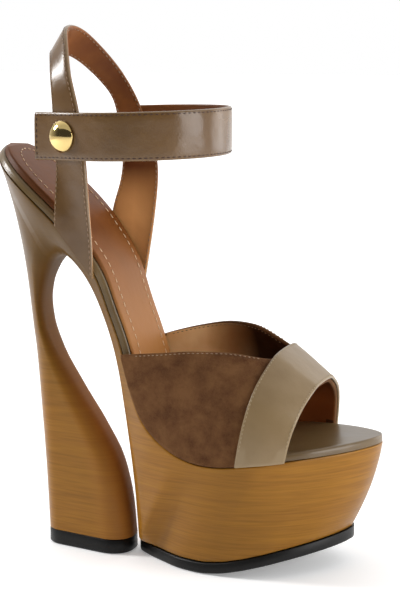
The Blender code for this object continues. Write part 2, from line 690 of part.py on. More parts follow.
# Snap stud: a turned dome on the outside of the ankle strap
def stud():
    bm = bmesh.new()
    ring_verts = [bm.verts.new((r * STUD_R * MM, 0.0, h * MM)) for r, h in STUD_PROFILE]
    edges = [bm.edges.new(pair) for pair in zip(ring_verts, ring_verts[1:])]
    bmesh.ops.spin(bm, geom=ring_verts + edges, cent=(0, 0, 0), axis=(0, 0, 1), angle=2 * math.pi,
                   steps=20, use_merge=True)
    slope = -0.4
    normal = Vector((slope, -1.0, 0.0)).normalized()
    y = ANKLE[0][1] + slope * (STUD_X - ANKLE[0][0])
    seat = Vector(((STUD_X - ORIGIN_X) * MM, y * MM, ANKLE_Z * MM)) + normal * (STRAP_T + GAP) * MM
    turn = Vector((0, 0, 1)).rotation_difference(normal).to_matrix().to_4x4()
    bmesh.ops.transform(bm, matrix=Matrix.Translation(seat) @ turn, verts=bm.verts)
    return finish("snap_stud", bm, (0.75, 0.52, 0.20), 0.15, 1.0)


stud()
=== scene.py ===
# %% [markdown]
# # A platform wedge sandal
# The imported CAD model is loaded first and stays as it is. It says where everything lies, in metres,
# with +X to the toe, +Y to the inner side of the right foot and the floor at Z = 0.
# This lesson dresses it: a lacquered wood-look unit, black rubber, taupe leather, brown suede,
# tan lining, stitches and a gold snap.

# %% Load the frame
import math

import bmesh
import bpy
import numpy as np
from mathutils import Matrix, Vector
from mathutils.bvhtree import BVHTree


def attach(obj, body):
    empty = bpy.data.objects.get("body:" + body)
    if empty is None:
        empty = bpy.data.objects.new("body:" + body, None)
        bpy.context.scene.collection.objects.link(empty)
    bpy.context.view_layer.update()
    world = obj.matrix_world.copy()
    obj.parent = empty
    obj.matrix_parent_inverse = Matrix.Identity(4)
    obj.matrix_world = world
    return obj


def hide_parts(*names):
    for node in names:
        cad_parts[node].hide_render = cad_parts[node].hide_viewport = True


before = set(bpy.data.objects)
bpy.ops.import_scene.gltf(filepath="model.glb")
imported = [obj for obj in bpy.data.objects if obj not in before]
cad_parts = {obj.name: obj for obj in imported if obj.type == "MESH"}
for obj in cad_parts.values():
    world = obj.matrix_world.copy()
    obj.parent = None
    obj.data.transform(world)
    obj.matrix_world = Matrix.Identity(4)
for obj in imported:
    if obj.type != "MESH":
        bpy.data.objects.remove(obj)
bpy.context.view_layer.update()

# %% [markdown]
# ## Colours and shader nodes
# Colours are written as a picture editor shows them, in sRGB hex, and shaders work in linear light,
# so one function turns the first into the second. Another adds a shader node with its settings and
# its links, which keeps each material below short enough to read. Two more stand for what a finisher
# does again and again: working one tone into another by a pattern, and tinting a finished material
# from one place on the shoe to another. The tint gives stain and changes of tone, and it also paints
# in light and shade.


# %% Colour and node helpers
def srgb(code):
    channels = [int(code[i:i + 2], 16) / 255 for i in (1, 3, 5)]
    linear = [c / 12.92 if c <= 0.04045 else ((c + 0.055) / 1.055) ** 2.4 for c in channels]
    return (*linear, 1.0)


def set_sockets(material, node, values):
    for socket, value in values.items():
        if isinstance(value, bpy.types.NodeSocket):
            material.node_tree.links.new(value, node.inputs[socket])
        else:
            node.inputs[socket].default_value = value


def add(material, kind, links, **settings):
    """Adds a shader node, named without its ShaderNode prefix, with its settings and its links."""
    made = material.node_tree.nodes.new("ShaderNode" + kind)
    for name, value in settings.items():
        setattr(made, name, value)
    set_sockets(material, made, links)
    return made.outputs


def new_material(name):
    material = bpy.data.materials.new(name)
    material.use_nodes = True
    shader = material.node_tree.nodes["Principled BSDF"]
    coords = add(material, "TexCoord", {})["Object"]
    return material, shader, coords


def two_tones(material, pattern, low, high, first, second, most=1.0):
    """Goes from one tone towards another while the value of a pattern goes from low to high."""
    share = add(material, "MapRange", {"Value": pattern, "From Min": low, "From Max": high, "To Max": most})
    first, second = (srgb(tone) if isinstance(tone, str) else tone for tone in (first, second))
    return add(material, "Mix", {"Factor": share["Result"], MIX_A: first, MIX_B: second},
               data_type="RGBA")[MIX_OUT]


def tint(material, axis, tone, start, end, most):
    """Works a tone into a finished material, more and more from start to end along one axis."""
    shader = material.node_tree.nodes["Principled BSDF"]
    body = shader.inputs["Base Color"].links[0].from_socket
    coords = add(material, "TexCoord", {})["Object"]
    place = add(material, "SeparateXYZ", {"Vector": coords})[axis]
    set_sockets(material, shader, {"Base Color": two_tones(material, place, start, end, body, tone, most)})


PER_MM = 1000.0    # a texture scale of 1 over a millimetre, because the scene is in metres
MIX_A, MIX_B, MIX_OUT = 6, 7, 2     # the colour sockets of the Mix node
print("helpers ready, mid grey is", [round(c, 3) for c in srgb("#808080")])

# %% [markdown]
# ## Lacquered wood-grain
# The unit is moulded and printed with a fine grain that runs level round the platform and the heel,
# then lacquered to a satin gloss. Noise that is stretched a long way along X and Y and hardly at all
# along Z gives such streaks. Two sizes are mixed: bands of a few millimetres and hair-fine lines.
# The hair lines are really about 0.3 mm and are drawn at 0.6 mm, so that they show in the render.
# The stain is darker and more olive towards the seat, which follows the height. The inner breast of
# the heel is more matt, and warmer by a painted glow of light bounced from the platform, which an
# attribute of the mesh gives.

# %% Wood material
BAND_MM, HAIR_MM = 1.9, 0.6
BAND_RUN, HAIR_RUN = 9.0, 55.0          # changes per metre along the grain
CLOUDS = 28.0                           # the same for slow clouds, in all directions
STAIN_LOW, STAIN_HIGH = 0.060, 0.126    # heights between which the stain gets darker


def lacquered_wood():
    material, shader, coords = new_material("lacquered_wood_grain")
    bands = add(material, "Mapping", {"Vector": coords, "Scale": (BAND_RUN, BAND_RUN, PER_MM / BAND_MM)})
    band = add(material, "TexNoise", {"Vector": bands["Vector"], "Scale": 1.0, "Detail": 3.0,
                                      "Roughness": 0.6, "Distortion": 0.15})["Fac"]
    hairs = add(material, "Mapping", {"Vector": coords, "Scale": (HAIR_RUN, HAIR_RUN, PER_MM / HAIR_MM)})
    hair = add(material, "TexNoise", {"Vector": hairs["Vector"], "Scale": 1.0, "Detail": 2.0,
                                      "Roughness": 0.55})["Fac"]
    cloud = add(material, "TexNoise", {"Vector": coords, "Scale": CLOUDS, "Detail": 1.0})["Fac"]
    breast = add(material, "Attribute", {}, attribute_name="breast")["Fac"]
    honey = two_tones(material, band, 0.34, 0.66, "#8d5e1e", "#9a6920")
    clouded = two_tones(material, cloud, 0.35, 0.7, honey, "#7c5410", 0.35)
    lined = two_tones(material, hair, 0.40, 0.70, clouded, "#663e08", 0.38)
    # painted light: the inner breast is warmed towards orange, a painted glow of light bounced from the
    # platform
    warmed_by_painted_bounce = two_tones(material, breast, 0.0, 1.0, lined, "#a86c34", 0.6)
    satin = add(material, "MapRange", {"Value": band, "To Min": 0.25, "To Max": 0.35})
    gloss = add(material, "Math", {0: breast, 1: 0.4, 2: satin["Result"]}, operation="MULTIPLY_ADD")
    bump = add(material, "Bump", {"Height": hair, "Strength": 0.12, "Distance": 0.00012})
    set_sockets(material, shader, {
        "Base Color": warmed_by_painted_bounce, "Roughness": gloss["Value"], "Normal": bump["Normal"],
        "Specular IOR Level": 0.15, "Coat Weight": 0.07, "Coat Roughness": 0.15})
    tint(material, "Z", "#513a13", STAIN_LOW, STAIN_HIGH, 0.9)
    return material


wood = lacquered_wood()
print("made", wood.name)

# %% [markdown]
# ## Smooth leather
# The straps, the toe band and the wrap of the footbed are finished full-grain leather: a coloured
# coat with faint pores, a soft sheen, slow changes of tone and slightly paler edges, which are a
# painted highlight along their rounded edges. One function makes all of them, because only colour
# and gloss differ. Pores are about 0.4 mm and are drawn at 0.9 mm. A slow bump of about 14 mm stands
# for the hand of the leather, the shallow waves that break up a highlight. The linings are a softer,
# duller leather, and a tint by place paints in the shade and the light along them: painted shade in
# front of the heel and towards the toes, painted light lower down. The lining inside the vamp is a
# much paler copy of the tan lining, which is painted light. The toe band is tinted darker towards
# its top, a painted shade.

# %% Leather materials
PORE_MM, WAVE_MM, TONE_MM = 0.9, 14.0, 22.0


def smooth_leather(name, dark, light, painted_edge_tone, roughness, wave=0.35, specular=0.5):
    material, shader, coords = new_material(name)
    tone = add(material, "TexNoise", {"Vector": coords, "Scale": PER_MM / TONE_MM, "Detail": 4.0,
                                      "Roughness": 0.55})["Fac"]
    edge = add(material, "Attribute", {}, attribute_name="edge")["Fac"]
    body = two_tones(material, tone, 0.3, 0.7, dark, light)
    # paler edges here are a painted highlight along the rounded edges; on the sock the edge tone is darker,
    # a painted shade of the gap at its rim
    painted_edge_light_and_shade = two_tones(material, edge, 0.68, 1.0, body, painted_edge_tone, 0.5)
    pores = add(material, "TexVoronoi", {"Vector": coords, "Scale": PER_MM / PORE_MM})
    waves = add(material, "TexNoise", {"Vector": coords, "Scale": PER_MM / WAVE_MM, "Detail": 2.0})
    slow = add(material, "Bump", {"Height": waves["Fac"], "Strength": wave, "Distance": 0.0016})
    fine = add(material, "Bump", {"Height": pores["Distance"], "Strength": 0.16, "Distance": 0.00012,
                                  "Normal": slow["Normal"]})
    gloss = add(material, "MapRange", {"Value": tone, "To Min": roughness - 0.06,
                                       "To Max": roughness + 0.08})
    set_sockets(material, shader, {
        "Base Color": painted_edge_light_and_shade, "Roughness": gloss["Result"], "Normal": fine["Normal"],
        "IOR": 1.48, "Specular IOR Level": specular})
    return material


strap_leather = smooth_leather("full_grain_leather_taupe", "#5c4225", "#6c502f", "#8e7656", 0.25)
band_leather = smooth_leather("full_grain_leather_pale_taupe", "#7e6747", "#8d7757", "#998567", 0.33,
                              specular=0.36)
# painted shade: the toe band is tinted darker towards its top
tint(band_leather, "Z", "#5f4c30", 0.072, 0.094, 0.35)      # darker towards its top
wrap_leather = smooth_leather("full_grain_leather_footbed_wrap", "#5e4a2e", "#6e5938", "#826d4c", 0.30, 0.2)
lining_leather = smooth_leather("lining_leather_tan", "#562a0f", "#824d23", "#a06c3e", 0.44, 0.6, 0.2)
# painted light and shade on the tan lining: paler below the ankle strap, darker in front of the heel
tint(lining_leather, "Z", "#e2a466", 0.161, 0.139, 0.95)    # paler below the ankle strap
tint(lining_leather, "X", "#6b3f1c", -0.042, -0.033, 0.6)   # darker in front of the heel
# the lining inside the vamp is a much paler copy of the tan lining, which is painted light; painted shade
# then darkens it towards the toes, and painted light warms it low down, inside the open toe
vamp_lining = smooth_leather("lining_leather_tan_painted_light_and_shade", "#dda468", "#f8d09a", "#b98a58", 0.42, 0.6, 0.2)
tint(vamp_lining, "X", "#240d05", -0.009, 0.013, 0.98)      # dark towards the toes
tint(vamp_lining, "Z", "#a86435", 0.076, 0.062, 0.9)        # warmer low down, inside the open toe
print("made", [m.name for m in (strap_leather, band_leather, wrap_leather, lining_leather, vamp_lining)])

# %% [markdown]
# ## Tan sock
# The sock is the same kind of tan leather with a lightly polished, foam-backed face. It is redder and
# darker at the heel and paler down the slope, so its colour follows the height. Its cut rim is painted
# darkest, a painted shade of the gap beside the wrap, which the edge attribute of the mesh gives.

# %% Sock material
HEEL_Z, WAIST_Z = 0.137, 0.093
sock_tan = smooth_leather("sock_leather_tan", "#61340f", "#74421a", "#2e170a", 0.46, 0.25, 0.15)
tint(sock_tan, "Z", "#ab7440", HEEL_Z, WAIST_Z, 0.9)
print("made", sock_tan.name)

# %% [markdown]
# ## Suede
# Suede is the raised flesh side of leather: no gloss, a velvety sheen at grazing angles, and patches
# that look darker or paler where the nap was brushed one way or the other. Patches of about 9 mm are
# drawn by noise with much detail, the nap of about 0.2 mm is drawn at 0.6 mm as a small bump.

# %% Suede material
PATCH_MM, NAP_MM = 9.0, 0.6


def suede():
    material, shader, coords = new_material("brushed_suede_brown")
    patch = add(material, "TexNoise", {"Vector": coords, "Scale": PER_MM / PATCH_MM, "Detail": 6.0,
                                       "Roughness": 0.66, "Distortion": 0.1})["Fac"]
    nap = add(material, "TexNoise", {"Vector": coords, "Scale": PER_MM / NAP_MM, "Detail": 3.0,
                                     "Roughness": 0.7})["Fac"]
    body = two_tones(material, patch, 0.34, 0.67, "#442615", "#6c492d")
    flecked = two_tones(material, nap, 0.3, 0.75, body, "#75532f", 0.35)
    bump = add(material, "Bump", {"Height": nap, "Strength": 0.5, "Distance": 0.0003})
    set_sockets(material, shader, {
        "Base Color": flecked, "Roughness": 0.95, "Normal": bump["Normal"], "Specular IOR Level": 0.15,
        "Sheen Weight": 0.25, "Sheen Roughness": 0.45, "Sheen Tint": srgb("#b08a62")})
    return material


vamp_suede = suede()
print("made", vamp_suede.name)

# %% [markdown]
# ## Rubber, thread and gold
# Moulded rubber is nearly black with a dull sheen and a fine texture. Waxed thread is a soft plain
# colour. The snap is gold-plated brass, polished: a metal with hardly any roughness, whose look is
# almost wholly what it reflects. Grit, plies and haze are drawn at 0.8, 0.5 and 3 mm.

# %% Rubber, thread and metal materials
GRIT_MM, PLY_MM, HAZE_MM = 0.8, 0.5, 3.0


def moulded_rubber():
    material, shader, coords = new_material("moulded_rubber_black")
    grit = add(material, "TexNoise", {"Vector": coords, "Scale": PER_MM / GRIT_MM, "Detail": 3.0})["Fac"]
    bump = add(material, "Bump", {"Height": grit, "Strength": 0.25, "Distance": 0.0002})
    set_sockets(material, shader, {
        "Base Color": two_tones(material, grit, 0.0, 1.0, "#0d0d0d", "#1c1b1a"), "Roughness": 0.4,
        "Normal": bump["Normal"], "Specular IOR Level": 0.2})
    return material


def waxed_thread(name, dark, light):
    material, shader, coords = new_material(name)
    ply = add(material, "TexNoise", {"Vector": coords, "Scale": PER_MM / PLY_MM, "Detail": 2.0})["Fac"]
    set_sockets(material, shader, {"Base Color": two_tones(material, ply, 0.0, 1.0, dark, light),
                                   "Roughness": 0.6})
    return material


def gold_plate():
    material, shader, coords = new_material("gold_plated_brass")
    haze = add(material, "TexNoise", {"Vector": coords, "Scale": PER_MM / HAZE_MM, "Detail": 3.0})["Fac"]
    gloss = add(material, "MapRange", {"Value": haze, "To Min": 0.06, "To Max": 0.14})
    set_sockets(material, shader, {"Base Color": srgb("#dec382"), "Metallic": 1.0,
                                   "Roughness": gloss["Result"]})
    return material


rubber = moulded_rubber()
brown_thread = waxed_thread("waxed_thread_brown", "#2e150b", "#472515")
tan_thread = waxed_thread("waxed_thread_tan", "#7e6247", "#9c7f62")
beige_thread = waxed_thread("waxed_thread_beige", "#c8a581", "#e0c4a2")
taupe_thread = waxed_thread("waxed_thread_taupe", "#8f7c5e", "#ad9b7d")
gold = gold_plate()
print("made", [m.name for m in (rubber, brown_thread, tan_thread, beige_thread, taupe_thread, gold)])

# %% [markdown]
# ## Curves of the last
# A shoe is drawn on its last, and every piece here follows the same few lines: the footbed in side
# view and the insole pattern in plan, in millimetres, with X from the back of the heel lift. One
# curve runs through a table without overshoot, the other is a natural spline for lines in space.

# %% Curves
ORIGIN_X = 74.0
FOOTBED_LINE = (
    (-17.6, 168.3), (5.2, 150.4), (23.8, 132.0), (31.5, 121.6), (37.2, 107.6), (43.2, 91.4), (48.6, 74.0),
    (56.2, 59.4), (66.0, 51.4), (80.0, 46.9), (100.0, 48.0), (122.0, 50.2), (145.6, 51.2))
# along the footbed, lateral y, medial y
INSOLE = (
    (32.0, -25.4, 25.0), (44.0, -25.3, 24.6), (58.0, -24.3, 22.6), (76.0, -23.2, 20.0), (95.0, -23.2, 18.6),
    (110.0, -24.2, 18.8), (126.0, -26.0, 20.4), (140.0, -28.4, 23.6), (153.0, -31.2, 28.6),
    (165.0, -33.6, 33.2), (177.0, -35.0, 36.0), (188.0, -34.0, 35.6), (198.0, -30.0, 32.6),
    (206.0, -24.8, 29.0), (213.0, -18.4, 25.8), (219.0, -11.4, 22.4), (223.6, -4.4, 19.0),
    (226.4, 1.2, 16.2), (228.0, 5.6, 13.4), (228.6, 8.4, 11.0))
HEEL_ROUND = 32.0


def smooth(table, column, at):
    """The value of one column at a place, on a curve that never overshoots the table."""
    xs = np.array([row[0] for row in table], float)
    ys = np.array([row[column] for row in table], float)
    step, rate = np.diff(xs), np.diff(ys) / np.diff(xs)
    slope = np.concatenate(([rate[0]], np.zeros(len(xs) - 2), [rate[-1]]))
    for i in range(1, len(xs) - 1):
        if rate[i - 1] * rate[i] > 0:
            a, b = 2 * step[i] + step[i - 1], step[i] + 2 * step[i - 1]
            slope[i] = (a + b) / (a / rate[i - 1] + b / rate[i])
    k = int(np.clip(np.searchsorted(xs, at) - 1, 0, len(xs) - 2))
    h = step[k]
    t = min(max((at - xs[k]) / h, 0.0), 1.0)
    return (ys[k] * (1 + 2 * t) * (1 - t) ** 2 + slope[k] * h * t * (1 - t) ** 2
            + ys[k + 1] * t * t * (3 - 2 * t) + slope[k + 1] * h * t * t * (t - 1))


def travel(points):
    """How far along a line each of its points lies."""
    return np.concatenate(([0.0], np.cumsum(np.linalg.norm(np.diff(points, axis=0), axis=1))))


def spline(points, count):
    """A natural spline through points in the plane or in space, as evenly spaced points."""
    pts = np.array(points, float)
    knots = travel(pts)
    n, h = len(knots), np.diff(knots)
    system, right = np.eye(n), np.zeros((n, pts.shape[1]))
    for i in range(1, n - 1):
        system[i, i - 1:i + 2] = h[i - 1], 2 * (h[i - 1] + h[i]), h[i]
        right[i] = 6 * ((pts[i + 1] - pts[i]) / h[i] - (pts[i] - pts[i - 1]) / h[i - 1])
    bend = np.linalg.solve(system, right)
    line = []
    for at in np.linspace(0.0, knots[-1], count):
        k = int(np.clip(np.searchsorted(knots, at) - 1, 0, n - 2))
        a = (knots[k + 1] - at) / h[k]
        b = 1 - a
        line.append(a * pts[k] + b * pts[k + 1]
                    + ((a ** 3 - a) * bend[k] + (b ** 3 - b) * bend[k + 1]) * h[k] ** 2 / 6)
    return np.array(line)


BED = spline(FOOTBED_LINE, 1200)
BED_S = travel(BED)
BED_LENGTH = float(BED_S[-1])
NEAR = 0.6      # how far to both sides the slope of the footbed is taken


def bed(s, lift=0.0):
    """The point x, z at a distance along the footbed, lifted square to it."""
    a, b = max(s - NEAR, 0.0), min(s + NEAR, BED_LENGTH)
    x, z = (np.interp(s, BED_S, BED[:, i]) for i in (0, 1))
    dx, dz = (np.interp(b, BED_S, BED[:, i]) - np.interp(a, BED_S, BED[:, i]) for i in (0, 1))
    size = math.hypot(dx, dz)
    return x - dz / size * lift, z + dx / size * lift


def side_y(s, column):
    """The edge of the insole, in column 1 or 2 of its table, with an ellipse round the heel."""
    if s < HEEL_ROUND:
        return INSOLE[0][column] * math.sqrt(max(1 - ((HEEL_ROUND - s) / HEEL_ROUND) ** 2, 0.0))
    return smooth(INSOLE, column, s)


def along(start, end, count, crowd):
    """Places from start to end, crowded by a share towards both ends."""
    t = np.linspace(0.0, 1.0, count)
    t = (1 - np.cos(t * math.pi)) / 2 * crowd + t * (1 - crowd)
    return [start + (end - start) * v for v in t]


print("footbed", round(BED_LENGTH, 1), "mm long")

# %% [markdown]
# ## Sweeping a section
# Most pieces here are one closed outline that changes as it travels: the wood along the shoe, a strap
# round the ankle. Such a form can be made in the editor by drawing the first outline, extruding it and
# moving each new ring into place. The function does just that, with the extrude operator, and closes
# the two ends. Each ring carries one attribute, such as how near a point is to an edge, for the shader.
# A second function makes the finished mesh an object, hangs it on the root body and hides the CAD nodes
# that it stands for.


# %% Sweep and finish helpers
def spot(point):
    return Vector(((point[0] - ORIGIN_X) * 0.001, point[1] * 0.001, point[2] * 0.001))


def in_mm(place):
    """A place in the scene in the millimetres of the tables."""
    return place.x * 1000 + ORIGIN_X, place.y * 1000, place.z * 1000


def sweep(sections, attribute="edge", values=None, face_slots=None, end_cap=True):
    """Extrudes the first section into each of the others, with a value for every point."""
    bm = bmesh.new()
    layer = bm.verts.layers.float.new(attribute)
    ring = [bm.verts.new(spot(p)) for p in sections[0]]
    count = len(ring)
    edges = [bm.edges.new((ring[j], ring[(j + 1) % count])) for j in range(count)]
    bmesh.ops.contextual_create(bm, geom=edges)
    for i, section in enumerate(sections):
        if i:
            made = bmesh.ops.extrude_edge_only(bm, edges=edges)["geom"]
            fresh = {v for v in made if isinstance(v, bmesh.types.BMVert)}
            ring = [next(e.other_vert(v) for e in v.link_edges if e.other_vert(v) in fresh) for v in ring]
            edges = [bm.edges.get((ring[j], ring[(j + 1) % count])) for j in range(count)]
            for j, edge in enumerate(edges):
                for face in edge.link_faces:
                    face.material_index = face_slots[j] if face_slots else 0
        for j, vert in enumerate(ring):
            vert.co = spot(section[j])
            vert[layer] = values[i][j] if values else 0.0
    if end_cap:
        bmesh.ops.contextual_create(bm, geom=edges)
    return bm


def piece(name, bm, materials, slot, *nodes, sharp=40.0, recalc=True):
    """Makes a bmesh an object of the shoe that stands for the named CAD nodes."""
    if recalc:
        bmesh.ops.recalc_face_normals(bm, faces=bm.faces)
    for face in bm.faces:
        face.smooth = True
    for edge in bm.edges:
        edge.smooth = edge.calc_face_angle(0.0) < math.radians(sharp)
    mesh = bpy.data.meshes.new(name)
    bm.to_mesh(mesh)
    bm.free()
    for material in materials:
        mesh.materials.append(material)
    made = bpy.data.objects.new(name, mesh)
    bpy.context.scene.collection.objects.link(made)
    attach(made, "root")
    if nodes:
        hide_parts(*nodes)
    print(name, len(mesh.polygons), "faces")
    return made


print("the back of the heel lift lies at x =", round(spot((0.0, 0.0, 0.0)).x, 3), "m")

# %% [markdown]
# ## The wood-look unit
# Platform, shank and heel are one moulding. Its section is a slab with rounded corners that starts
# flat on the heel base, climbs the heel, turns over the cut-out into the shank and ends as slanted
# slices of the platform. Each row of the table is one section. Under the seat the sides follow a cup
# instead, the outline of the seat that sinks along the heel and draws in. The CAD node is made from the
# same rows with few facets, and here they are taken closer together, so that the gloss runs smoothly.

# %% Tables of the wood unit
SEAT_Z, GAP, OUTSOLE_T = 168.3, 0.3, 4.5
# how far the wood stands outside the footbed, wider where the upper comes down on it: along, lip
WOOD_LIP = ((0.0, 0.7), (112.0, 0.7), (132.0, 2.3), (190.0, 2.4), (199.0, 1.9), (209.0, 0.7), (229.0, 0.7))
HEEL_BACK = ((6.3, 1.2), (22.0, 0.6), (42.0, -0.3), (62.0, -1.5), (82.0, -3.0), (102.0, -5.2),
             (121.0, -7.6), (138.0, -10.3), (154.0, -13.6), (168.3, -17.6))
# platform outline at the outsole: x, lateral y, medial y
BOTTOM = (
    (44.6, -1.0, 1.0), (45.6, -3.2, 3.0), (49.5, -7.6, 7.0), (59.0, -16.0, 15.0), (70.0, -24.0, 23.0),
    (82.0, -28.0, 28.8), (94.0, -29.2, 32.2), (104.0, -28.0, 33.0), (112.0, -24.2, 31.4),
    (120.0, -17.6, 27.6), (127.0, -8.8, 22.0), (131.0, -1.0, 16.6), (132.8, 4.6, 12.4), (133.4, 7.6, 9.4))
# toe spring under the outsole: x, z
TREAD_LINE = ((40.0, 0.0), (78.0, 0.0), (86.0, 0.7), (95.0, 2.5), (104.0, 4.8), (114.0, 7.2), (127.0, 9.6),
              (136.0, 10.8))
# cup of the heel: depth under the seat, share of the seat's width
CUP = ((0.0, 1.0), (12.0, 0.89), (27.0, 0.70), (43.0, 0.52), (58.0, 0.42), (71.0, 0.38), (120.0, 0.36))
# place along the outer line, inner x and z, half width, middle y, outer and inner corner radius
UNIT_ROWS = (
    (-162.0, 41.8, 6.3, 13.2, -3.4, 6.6, 11.5),
    (-146.0, 40.2, 21.0, 13.0, -3.0, 6.8, 11.0),
    (-130.0, 36.0, 38.0, 12.4, -2.4, 7.0, 10.4),
    (-114.0, 27.4, 54.0, 11.2, -1.6, 7.2, 9.4),
    (-98.0, 16.8, 70.0, 10.0, -1.0, 7.6, 8.4),
    (-84.0, 8.2, 84.0, 9.0, -0.5, 8.0, 7.4),
    (-71.0, 3.4, 96.0, 8.8, -0.2, 8.6, 7.0),
    (-58.0, 2.1, 105.0, 9.4, 0.0, 9.8, 7.2),
    (-43.0, 2.9, 112.0, 10.6, 0.0, 12.4, 7.8),
    (-27.0, 4.4, 117.0, 12.0, 0.0, 16.2, 8.4),
    (-12.0, 6.2, 120.8, 13.2, 0.0, 20.4, 8.8),
    (0.0, 7.7, 123.0, 14.2, 0.0, 23.4, 9.0),
    (4.0, 8.4, 123.8, 14.5, 0.0, 11.8, 9.0),
    (10.0, 9.4, 124.7, 14.8, 0.0, 6.0, 9.0),
    (18.0, 10.8, 125.5, 15.2, 0.0, 2.6, 9.0),
    (28.0, 12.6, 126.0, 15.6, 0.0, 1.0, 8.8),
    (40.0, 15.0, 126.0, 16.2, 0.0, 0.8, 8.4),
    (52.0, 18.6, 124.4, 16.8, -0.4, 0.7, 7.6),
    (62.0, 22.8, 120.6, 17.2, -0.8, 0.6, 6.6),
    (72.0, 27.4, 114.5, 17.2, -1.2, 0.6, 5.0),
    (84.0, 32.4, 104.8, 17.0, -1.8, 0.6, 4.6),
    (96.0, 36.6, 93.8, 17.0, -2.4, 0.6, 4.6),
    (108.0, 39.6, 82.2, 17.2, -2.6, 0.6, 5.4),
    (118.0, 41.2, 70.6, 17.0, -2.6, 0.6, 8.0),
    (127.0, 42.2, 57.0, 16.0, -2.2, 0.6, 11.0),
    (135.0, 42.9, 41.0, 14.8, -1.4, 0.6, 13.0),
    (143.0, 43.8, 22.0, 13.6, -0.8, 0.6, 13.0))
print(len(UNIT_ROWS), "rows from the heel base to the front of the shank")

# %% Section of the wood
CORNER, MIDDLE = 8, 8       # steps in a rounded corner and between the corners
OUTER_MOST, INNER_MOST, FAN_MOST = 0.72, 0.38, 0.97     # shares of a section that its corners may take
LEVEL_LEAST = 0.45          # share of a steep section that counts as its level length
EDGE_R, RIM_START = 0.6, 4.0
SEAT_S = np.linspace(0.0, 110.0, 221)
SEAT = np.array([bed(s) for s in SEAT_S])
BACK_Z = np.linspace(0.0, SEAT_Z, 340)
BACK_X = np.array([smooth(HEEL_BACK, 1, z) for z in BACK_Z])


def lip(s):
    return smooth(WOOD_LIP, 1, s)


def seat_flat(s):
    """Where the wood's upper face ends on both sides, short of its eased edges."""
    return side_y(s, 1) - lip(s) + EDGE_R, side_y(s, 2) + lip(s) - EDGE_R


def ramp(value, start, end):
    t = min(max((value - start) / (end - start), 0.0), 1.0)
    return t * t * (3 - 2 * t)


def cup_y(x, z, sign):
    """Half width under the seat, whose outline sinks parallel to the heel back and draws in."""
    sunk = SEAT[:, 0] + np.interp(z - SEAT[:, 1] + SEAT_Z, BACK_Z, BACK_X) - BACK_X[-1]
    s = float(np.interp(x, sunk, SEAT_S))
    seat = (-side_y(s, 1) if sign < 0 else side_y(s, 2)) + (lip(s) - EDGE_R) * min(s / RIM_START, 1.0)
    return seat * smooth(CUP, 1, max(bed(s)[1] - z, 0.0))


def wood_section(outer, inner, outer_flat, inner_flat, outer_r, inner_r, bulge, bow=0.0, power=2.0,
                 cup=0.0, spread=0.0, rim=0.0):
    """One closed outline, and for each point its share of the way from the outer to the inner line."""
    length = math.hypot(outer[0] - inner[0], outer[1] - inner[1])
    level = max(abs(outer[0] - inner[0]), LEVEL_LEAST * length)
    a, b = min(outer_r / level, OUTER_MOST), min(inner_r / length, INNER_MOST)
    fan = min(max(a, spread), FAN_MOST - b)
    turn = [1 - math.cos(k * math.pi / 2 / CORNER) for k in range(CORNER + 1)]
    shares = [fan * t for t in turn]
    shares += [fan + (1 - fan - b) * k / (MIDDLE + 1) for k in range(1, MIDDLE + 1)]
    shares += [1 - b * t for t in turn[::-1]]
    sides = []
    for sign, o_flat, i_flat in ((-1, -outer_flat[0], -inner_flat[0]), (1, outer_flat[1], inner_flat[1])):
        side = []
        o_full, i_full = o_flat + outer_r, i_flat + inner_r
        drawn = i_full - cup_y(*inner, sign) if cup else 0.0
        for v in shares:
            x, z = (o + (i - o) * v for o, i in zip(outer, inner))
            y = o_full + (i_full - o_full) * v + bulge * 4 * v * (1 - v)
            if v < a:
                y -= outer_r * (1 - max(1 - (1 - v / a) ** power, 0.0) ** (1 / power))
            if cup:
                eased = rim * math.sqrt(1 - (1 - min(v * length / EDGE_R, 1.0)) ** 2)
                y += (cup_y(x, z, sign) + drawn * ramp(v, 0.0, 1.0) + eased - y) * cup
            if v > 1 - b:
                y -= inner_r * (1 - math.sqrt(max(1 - (1 - (1 - v) / b) ** 2, 0.0)))
            side.append((x + bow * 4 * v * (1 - v), sign * y, z))
        sides.append(side)
    return sides[0] + sides[1][::-1], shares + shares[::-1]


print("the seat is", round(2 * cup_y(*bed(HEEL_ROUND), 1), 1), "mm wide")

# %% Wood unit
ROW_STEPS, SLICES = 4, 44
CUP_IN, CUP_OUT, FAN_OUT = (-90.0, -40.0), (40.0, 76.0), (0.0, 70.0)    # places along the outer line
SQUARER, SQUARER_IN = 0.45, (-110.0, 60.0)      # the back gets a squarer curve: by how much, from, over
FAN_SHARE, RIM_IN = 0.72, 10.0
FIRST_SLICE, REAR_ROUND, REAR_END = 7.0, 12.0, 0.18     # the rear of the platform is rounded
BULGE, NOSE_BOW, NOSE_X = 1.6, 1.8, 0.12
HEEL_TWIST = -0.7       # the heel back leans to the other side by this share of the inner middle


def heel_and_shank():
    rows = [(i,) + row for i, row in enumerate(UNIT_ROWS)]
    for step in range((len(rows) - 1) * ROW_STEPS + 1):
        at, inner_x, inner_z, half, middle, outer_r, inner_r = (
            smooth(rows, c, step / ROW_STEPS) for c in range(1, 8))
        inner_r = min(inner_r, half - 0.5)
        outer = bed(at) if at >= 0 else (smooth(HEEL_BACK, 1, SEAT_Z + at), SEAT_Z + at)
        flat = seat_flat(at) if at >= 0 else (HEEL_TWIST * middle,) * 2
        power = 2.0 - SQUARER * min(max((at - SQUARER_IN[0]) / SQUARER_IN[1], 0.0), 1.0)
        inner_flat = (middle - half + inner_r, middle + half - inner_r)
        cup = ramp(at, *CUP_IN) * (1 - ramp(at, *CUP_OUT))
        spread = FAN_SHARE * ramp(at, *CUP_IN) * (1 - ramp(at, *FAN_OUT))
        rim = EDGE_R * min(max(at / RIM_IN, 0.0), 1.0)
        yield wood_section(outer, (inner_x, inner_z), flat, inner_flat, outer_r, inner_r, 0.0, 0.0, power,
                           cup, spread, rim)


